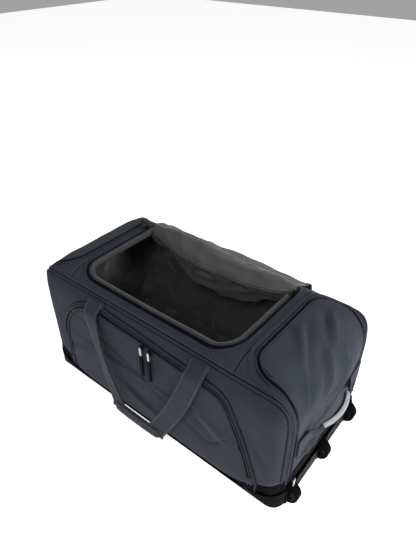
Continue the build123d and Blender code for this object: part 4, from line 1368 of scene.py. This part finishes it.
class DUFFEL_OT_lid(bpy.types.Operator):
    """Makes the thrown-back lid from two lined sheets, with its zip and seams"""

    bl_idname = "duffel.lid"
    bl_label = "Lid"

    def execute(self, context):
        grid, total = lid_grid()
        normals = grid_normals(grid)
        lift = lid_wrinkles(grid)
        edge = np.minimum(np.arange(grid.shape[0]), np.arange(grid.shape[0])[::-1])[:, None]
        lift = lift * smoothstep(edge / 6.0)
        grid = grid + normals * lift[..., None]
        normals = grid_normals(grid)
        middle = (LID_HINGE[1] + LID_FOLD[1]) / 2
        cut = int(np.argmax(grid[grid.shape[0] // 2, :, 1] > middle))
        finishes = ("lid_nylon", "shell_polyester", "binding_tape")
        inner = cloth_sheet("lid_inner_cloth", grid[:, : cut + 1], finishes)
        outer = cloth_sheet("lid_outer_cloth", grid[:, cut:], finishes)
        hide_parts("lid_inner_leaf")
        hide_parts("lid_outer_leaf")
        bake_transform(inner)
        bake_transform(outer)
        self.sew_free_edge(grid, normals)
        row = []
        for k, x in enumerate(np.linspace(LID_X[0], LID_X[1], grid.shape[0])):
            seam = lid_profile(x)[2]
            row.append(int(np.argmin(np.hypot(grid[k, :50, 1] - seam[0], grid[k, :50, 2] - seam[1]))))
        across = np.arange(grid.shape[0])
        seam = smooth_line(grid[across, row], False, 6)
        out = unit(smooth_line(normals[across, row], False, 6))
        for name, shift in (("lid_seam_stitching", 0.0), ("lid_seam_stitching_b", 0.006)):
            line = seam + np.cross(line_tangents(seam), out) * shift
            row = stitches(line, out, LID_STITCH, lift=sizes().lid_cloth / 2)
            sew(name, row, "light_thread", "bag")
        return {"FINISHED"}

    def sew_free_edge(self, grid, normals):
        """The lid's half of the mouth zip, round its three free sides."""
        start = int(np.argmax(grid[0, :, 2] < LID_FOLD[2] - 0.024))
        left = np.hstack((grid[0, start:], normals[0, start:]))
        foot = np.hstack((grid[:, -1], normals[:, -1]))[1:]
        right = np.hstack((grid[-1, start:], normals[-1, start:]))[::-1][1:]
        ring = resample(np.vstack((left, foot, right)), PATH_STEP)
        tape = ribbon(ring[:, :3], unit(ring[:, 3:]), 0.012, 0.0036, crown=0.0003)
        piece("lid_zip_tape", tape, "zip_tape_cloth", "lid_outer", ("lid_zip",))
        tooth = sizes().tooth
        coil = stitches(
            ring[:, :3], ring[:, 3:], (tooth * TOOTH_SHARE, 0.0030, 0.0032),
            shift=-0.0045, lift=-0.0006, spacing=tooth,
        )
        sew("lid_zip_coil", coil, "zip_coil_plastic", "lid_outer")


# ---------------------------------------------------------------- carry handles
def strap_route(side, fold, tail_lean, kink):
    """Y at a height on a carry handle's webbing, from its fold line to the grip."""
    fold_y, fold_z = abs(fold[1]), fold[2]
    rows = [(fold_y, fold_z)]
    rows.append((fold_y + kink[0], fold_z - kink[1]))
    low = 0.060
    rows.append((fold_y + kink[0] + (rows[1][1] - low) * np.tan(radians(tail_lean)), low))
    rows = np.array(rows)
    line = resample(rows, 0.002)
    line = smooth_line(line, False, 14)
    return np.column_stack((side * line[:, 0], line[:, 1]))


def at_height(line, z):
    """Y of a strap's line at heights."""
    order = np.argsort(line[:, 1])
    return np.interp(z, line[order, 1], line[order, 0])


def cross_stitch(points, across, along, normals, size):
    """A box with a cross of stitches at a place on a strap."""
    corners = np.array(((-1, -1), (1, -1), (1, 1), (-1, 1), (-1, -1), (1, 1), (-1, 1), (1, -1)), float)
    rows = []
    for a, b in zip(corners[:-1], corners[1:]):
        span = np.linalg.norm((b - a) * size / 2)
        count = max(int(span / CROSS_SPACING), 2)
        for t in (np.arange(count) + 0.5) / count:
            rows.append(np.concatenate((a + (b - a) * t, b - a)))
    rows = np.array(rows)
    place = points + across * rows[:, :1] * size[0] / 2 + along * rows[:, 1:2] * size[1] / 2
    way = across * rows[:, 2:3] * size[0] + along * rows[:, 3:] * size[1]
    return blocks(place, way, np.broadcast_to(normals, place.shape), CROSS_STITCH)


class DUFFEL_OT_carry_handles(bpy.types.Operator):
    """Sews on the two carry handles: anchors, straps and wrapped grips"""

    bl_idname = "duffel.carry_handles"
    bl_label = "Carry handles"

    def execute(self, context):
        for name, side, fold, kink, lean in (
            ("front", -1, FRONT_FOLD, (0.026, 0.024), 7.6),
            ("back", 1, BACK_FOLD, (0.008, 0.022), 0.0),
        ):
            body = name + "_handle"
            route = strap_route(side, fold, lean, kink)
            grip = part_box(name + "_handle_grip")
            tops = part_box(name + "_handle_anchors")
            span_low, span_high = tops[0][0], tops[1][0]
            top_left, top_right = span_low + 0.025, span_high - 0.025
            grip_z = (grip[0][2] + grip[1][2]) / 2
            straps, sewn = [], []
            for top, end, way in ((top_left, grip[0][0], 1), (top_right, grip[1][0], -1)):
                z = np.linspace(fold[2] - 0.0005, grip_z - 0.013, 90)
                drop = np.clip((fold[2] - 0.020 - z) / (fold[2] - 0.020 - grip_z), 0, 1)
                x = top + (end + way * 0.010 - top) * (drop - 0.10 * np.sin(drop * pi))
                line = np.column_stack((x, at_height(route, z), z))
                line = smooth_line(line, False, 6)
                tangent = line_tangents(line)
                across = unit(np.cross(tangent, np.array((0, 1.0, 0)) * side))
                curl = (0.12 - 0.38 * (way > 0)) * np.sin(drop * pi)
                across = unit(across + np.array((0, 1.0, 0)) * side * curl[:, None])
                normals = unit(np.cross(across, tangent))
                normals = normals * np.sign(normals[:, 1:2] * side)
                strap = ribbon(line, normals, sizes().strap, STRAP_T, crown=0.0008, across=across, columns=9)
                straps.append(strap)
                for edge in (-0.42, 0.42):
                    row = line + across * edge * sizes().strap + normals * 0.0015
                    sewn.append(stitches(row, normals, STITCH))
            nodes = (name + "_handle_straps",)
            piece(name + "_handle_webbing", join(*straps), "strap_webbing", body, nodes)
            sew(name + "_handle_stitching", join(*sewn), "slate_thread", body)
            self.make_grip(name, side, grip, lean, body)
            self.make_anchors(name, side, fold, (top_left, top_right))
        return {"FINISHED"}

    def make_grip(self, name, side, box, lean, body):
        """A sleeve wrapped round both straps, crowned, with two rows of stitches along it."""
        low, high = box
        centre = np.array(((low[0] + high[0]) / 2, (low[1] + high[1]) / 2, (low[2] + high[2]) / 2))
        up = np.array((0, -side * sin(radians(lean)) * 1.0, cos(radians(lean))))
        out = np.array((0, side * cos(radians(lean)), sin(radians(lean))))
        half_l, half_h, half_t = (high[0] - low[0]) / 2, 0.0135, 0.0058
        centre = centre - up * 0.0045 + out * 0.001
        rings = []
        marks = np.linspace(-1, 1, 61)
        for u in marks:
            end = (1 - abs(u) ** 14) ** (1 / 3)
            sag = -0.003 * (1 - u * u)
            ring = []
            for k in range(28):
                a = 2 * pi * k / 28
                c, s = cos(a), sin(a)
                flat_c = np.sign(c) * abs(c) ** 0.55
                flat_s = np.sign(s) * abs(s) ** 0.8
                pinch = 1 - 0.10 * abs(sin(u * 9.0)) * 0.35
                ring.append(
                    centre + (half_l * u, 0, 0) + up * (half_h * flat_c * (0.86 + 0.14 * end) + sag)
                    + out * half_t * flat_s * pinch * (0.55 + 0.45 * end)
                )
            rings.append(ring)
        rings = np.array(rings)
        n, m = rings.shape[:2]
        verts = np.vstack((rings.reshape(-1, 3), rings[0].mean(axis=0), rings[-1].mean(axis=0)))
        faces = grid_faces(n, m, around_m=True, flip=True)
        faces += [(n * m, (k + 1) % m, k) for k in range(m)]
        faces += [(n * m + 1, (n - 1) * m + k, (n - 1) * m + (k + 1) % m) for k in range(m)]
        nodes = (name + "_handle_grip",)
        padded_sleeve(name + "_handle_sleeve", (verts, faces), body, nodes)
        rows = []
        for level in (-0.78, 0.70):
            x = np.linspace(low[0] + 0.006, high[0] - 0.006, 60)
            u = (x - centre[0]) / half_l
            p = centre + np.column_stack((x - centre[0], np.zeros(60), np.zeros(60)))
            p = p + up * (half_h * level - 0.003 * (1 - u[:, None] ** 2)) + out * (half_t * 0.93)
            rows.append(blocks(resample(p, sizes().stitch), np.array((1.0, 0, 0)), out, STITCH))
        sew(name + "_sleeve_stitching", join(*rows), "light_thread", body)

    def make_anchors(self, name, side, fold, tops):
        """Folded webbing sewn under the piping, with a box of stitches."""
        parts, sewn = [], []
        for top in tops:
            x, z = np.meshgrid(np.linspace(-0.0245, 0.0245, 13), np.linspace(-0.0125, 0.0008, 6))
            flat = np.stack((top + x, np.full(x.shape, side * 0.3), fold[2] + z), axis=-1).reshape(-1, 3)
            base = on_form(flat, (0, side, 0))
            raised = base + normals_at(base) * 0.0032
            parts.append((raised, grid_faces(6, 13, flip=side < 0)))
            spot = on_form(np.array(((top, side * 0.3, fold[2] - 0.006),)), (0, side, 0))
            normal = normals_at(spot)[0]
            up = unit(np.cross(normal, (1.0, 0, 0)))
            sewn.append(cross_stitch(spot[0] + normal * 0.0033, np.array((1.0, 0, 0)), up, normal, PATCH_BOX))
        nodes = (name + "_handle_anchors",)
        piece(name + "_handle_patches", join(*parts), "strap_webbing", "bag", nodes, (PATCH_T,))
        sew(name + "_patch_stitching", join(*sewn), "slate_thread", "bag")


def face_out(obj):
    """Turns a closed mesh's faces outwards."""
    mesh = bmesh.new()
    mesh.from_mesh(obj.data)
    bmesh.ops.recalc_face_normals(mesh, faces=mesh.faces)
    mesh.to_mesh(obj.data)
    mesh.free()


def padded_sleeve(name, mesh, body, nodes):
    """A grip's closed and padded sleeve."""
    obj = piece(name, mesh, "grip_webbing", body, nodes)
    face_out(obj)


# ---------------------------------------------------------------- end handles
class DUFFEL_OT_end_handles(bpy.types.Operator):
    """Makes the grab handle of each end: two sewn tabs and a padded grip with near-white edge webbing, partly
    painted highlight
    """

    bl_idname = "duffel.end_handles"
    bl_label = "End handles"

    def execute(self, context):
        for name, way in (("left", -1), ("right", 1)):
            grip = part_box(name + "_grab_grip")
            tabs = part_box(name + "_grab_tabs")
            z_mid = (grip[0][2] + grip[1][2]) / 2
            span = grip[1][1]
            radius = (grip[1][2] - grip[0][2]) / 2
            axis_x = abs(GRAB_AXIS[0])
            bulge = max(abs(grip[0][0]), abs(grip[1][0])) - radius - axis_x
            self.make_grip(name, way, axis_x, span, bulge, radius, z_mid)
            self.make_tabs(name, way, axis_x, span, radius, z_mid, tabs)
        return {"FINISHED"}

    def make_grip(self, name, way, axis_x, span, bulge, radius, z_mid):
        """A padded sleeve bowed out between its ends, with near-white webbing along its top that is partly
        painted highlight.
        """
        u = np.linspace(-1, 1, 57)
        line = np.column_stack((way * (axis_x + bulge * (1 - u * u)), span * u, np.full(57, z_mid)))
        ends = 1 - 0.30 * np.abs(u) ** 10
        body = name + "_grab"
        sleeve = tube(line, radius * ends * 0.98, sides=20, ups=np.full((57, 3), (0, 0, 1.0)))
        padded_sleeve(name + "_grab_sleeve", sleeve, body, (name + "_grab_grip",))
        out = np.array((way * 0.55, 0, 0.83))
        normals = np.broadcast_to(unit(out), line.shape)
        across = unit(np.cross(line_tangents(line), normals))
        top = line + normals * (radius * ends - 0.0014)[:, None]
        # Near-white tape along the grip's top: partly painted highlight.
        edge = ribbon(top, normals, 0.0105, 0.0014, across=across, crown=0.0016)
        piece(name + "_grab_edge", edge, "stripe_webbing", body)
        row = resample(top + across * 0.0040 + normals * 0.0008, sizes().stitch)
        sewn = blocks(row, line_tangents(row), np.broadcast_to(unit(out), row.shape), SLEEVE_STITCH)
        sew(name + "_grab_stitching", sewn, "slate_thread", body)

    def make_tabs(self, name, way, axis_x, span, radius, z_mid, box):
        """Tabs that start wide at the zip and narrow as they rise to the grip's ends."""
        parts, sewn = [], []
        reach = box[1][1]
        for side in (-1, 1):
            rows, columns = 24, 11
            t = np.linspace(0, 1, rows)
            y = side * (reach - (reach - span - 0.0015) * t)
            height = 0.028 + (0.0105 - 0.028) * smoothstep(t * 1.05)
            flat = np.stack(
                (
                    np.full((rows, columns), way * 0.6), np.repeat(y[:, None], columns, axis=1),
                    z_mid + height[:, None] * np.linspace(-1, 1, columns),
                ), axis=-1,
            )
            base = on_form(flat.reshape(-1, 3), (way, 0, 0)).reshape(rows, columns, 3)
            rise = (axis_x + radius * 0.75 - HALF_L) * smoothstep((t - 0.55) / 0.42) ** 1.3
            curl = 1 - 0.35 * np.linspace(-1, 1, columns)[None] ** 2 * smoothstep((t - 0.6) / 0.4)[:, None]
            lift = 0.0034 + rise[:, None] * curl
            raised = base + normals_at(base) * lift[..., None]
            parts.append((raised.reshape(-1, 3), grid_faces(rows, columns, flip=way * side < 0)))
            spot = base[6, columns // 2]
            normal = normals_at(spot[None])[0]
            across = unit(np.cross(normal, (0, 0, 1.0)))
            sewn.append(cross_stitch(spot + normal * 0.0036, across, np.array((0, 0, 1.0)), normal, TAB_BOX))
        nodes = (name + "_grab_tabs",)
        piece(name + "_grab_webbing", join(*parts), "grip_webbing", "bag", nodes, (TAB_T,))
        sew(name + "_tab_stitching", join(*sewn), "slate_thread", "bag")


# ---------------------------------------------------------------- stage
LAMPS = (
    ("key", (0.9, -1.9, 2.4), 46, 0.8),
    ("side", (2.7, 0.2, 1.2), 60, 0.7),
    ("back", (-1.2, 2.4, 2.2), 20, 2.0),
)
CAMERA_AT = (0.61007, -0.71741, 1.05437)
CAMERA_AZIMUTH = 38.76
CAMERA_ELEVATION = 35.97
CAMERA_LENS = 31.30


class DUFFEL_OT_stage(bpy.types.Operator):
    """Sets up the pale floor, soft lights and camera"""

    bl_idname = "duffel.stage"
    bl_label = "Stage"

    def execute(self, context):
        bpy.ops.object.select_all(action="DESELECT")
        bpy.ops.mesh.primitive_plane_add(size=14, location=(0, 0, 0))
        floor = context.active_object
        floor.name = "floor"
        shader = new_material("pale_floor", 0.9)[1]
        shader.inputs["Base Color"].default_value = (0.90, 0.90, 0.90, 1)
        shader.inputs["Emission Color"].default_value = (1, 1, 1, 1)
        shader.inputs["Emission Strength"].default_value = 0.62
        floor.data.materials.append(MATERIALS["pale_floor"])
        world = bpy.data.worlds.new("studio")
        world.use_nodes = True
        background = world.node_tree.nodes["Background"]
        background.inputs["Color"].default_value = (1, 1, 1, 1)
        background.inputs["Strength"].default_value = 0.36
        context.scene.world = world
        context.scene.view_settings.view_transform = "Standard"
        for name, place, energy, size in LAMPS:
            bpy.ops.object.light_add(type="AREA", location=place)
            lamp = context.active_object
            lamp.name = name + "_light"
            lamp.data.energy = energy
            lamp.data.size = size
            lamp.rotation_mode = "QUATERNION"
            lamp.rotation_quaternion = (Vector((0, 0, 0.2)) - Vector(place)).to_track_quat("-Z", "Y")
        azimuth, elevation = radians(CAMERA_AZIMUTH), radians(CAMERA_ELEVATION)
        back = Vector((sin(azimuth) * cos(elevation), -cos(azimuth) * cos(elevation), sin(elevation)))
        bpy.ops.object.camera_add(location=CAMERA_AT)
        camera = context.active_object
        camera.name = "camera"
        camera.rotation_mode = "QUATERNION"
        camera.rotation_quaternion = (-back).to_track_quat("-Z", "Y")
        camera.data.sensor_width = 36
        camera.data.lens = CAMERA_LENS
        context.scene.camera = camera
        return {"FINISHED"}


# ---------------------------------------------------------------- add-on
STEPS = (
    DUFFEL_OT_finishes, DUFFEL_OT_body, DUFFEL_OT_lining, DUFFEL_OT_piping, DUFFEL_OT_zips, DUFFEL_OT_mouth,
    DUFFEL_OT_lid, DUFFEL_OT_carry_handles, DUFFEL_OT_end_handles, DUFFEL_OT_stage,
)


class DUFFEL_PT_panel(bpy.types.Panel):
    """Sizes, colours and steps of the duffel bag"""

    bl_label = "Rolling duffel bag"
    bl_idname = "DUFFEL_PT_panel"
    bl_space_type = "VIEW_3D"
    bl_region_type = "UI"
    bl_category = "Duffel"

    def draw(self, context):
        layout = self.layout
        for group in (context.scene.duffel_sizes, context.scene.duffel_colours):
            for name in own_names(group):
                layout.prop(group, name)
        for step in STEPS:
            layout.operator(step.bl_idname)


CLASSES = (DuffelSizes, DuffelColours, DUFFEL_PT_panel) + STEPS


def register():
    for cls in CLASSES:
        bpy.utils.register_class(cls)
    bpy.types.Scene.duffel_sizes = PointerProperty(type=DuffelSizes)
    bpy.types.Scene.duffel_colours = PointerProperty(type=DuffelColours)


def unregister():
    del bpy.types.Scene.duffel_colours
    del bpy.types.Scene.duffel_sizes
    for cls in reversed(CLASSES):
        bpy.utils.unregister_class(cls)


def main():
    register()
    for step in STEPS:
        group, name = step.bl_idname.split(".")
        getattr(getattr(bpy.ops, group), name)()


if __name__ == "__main__":
    main()
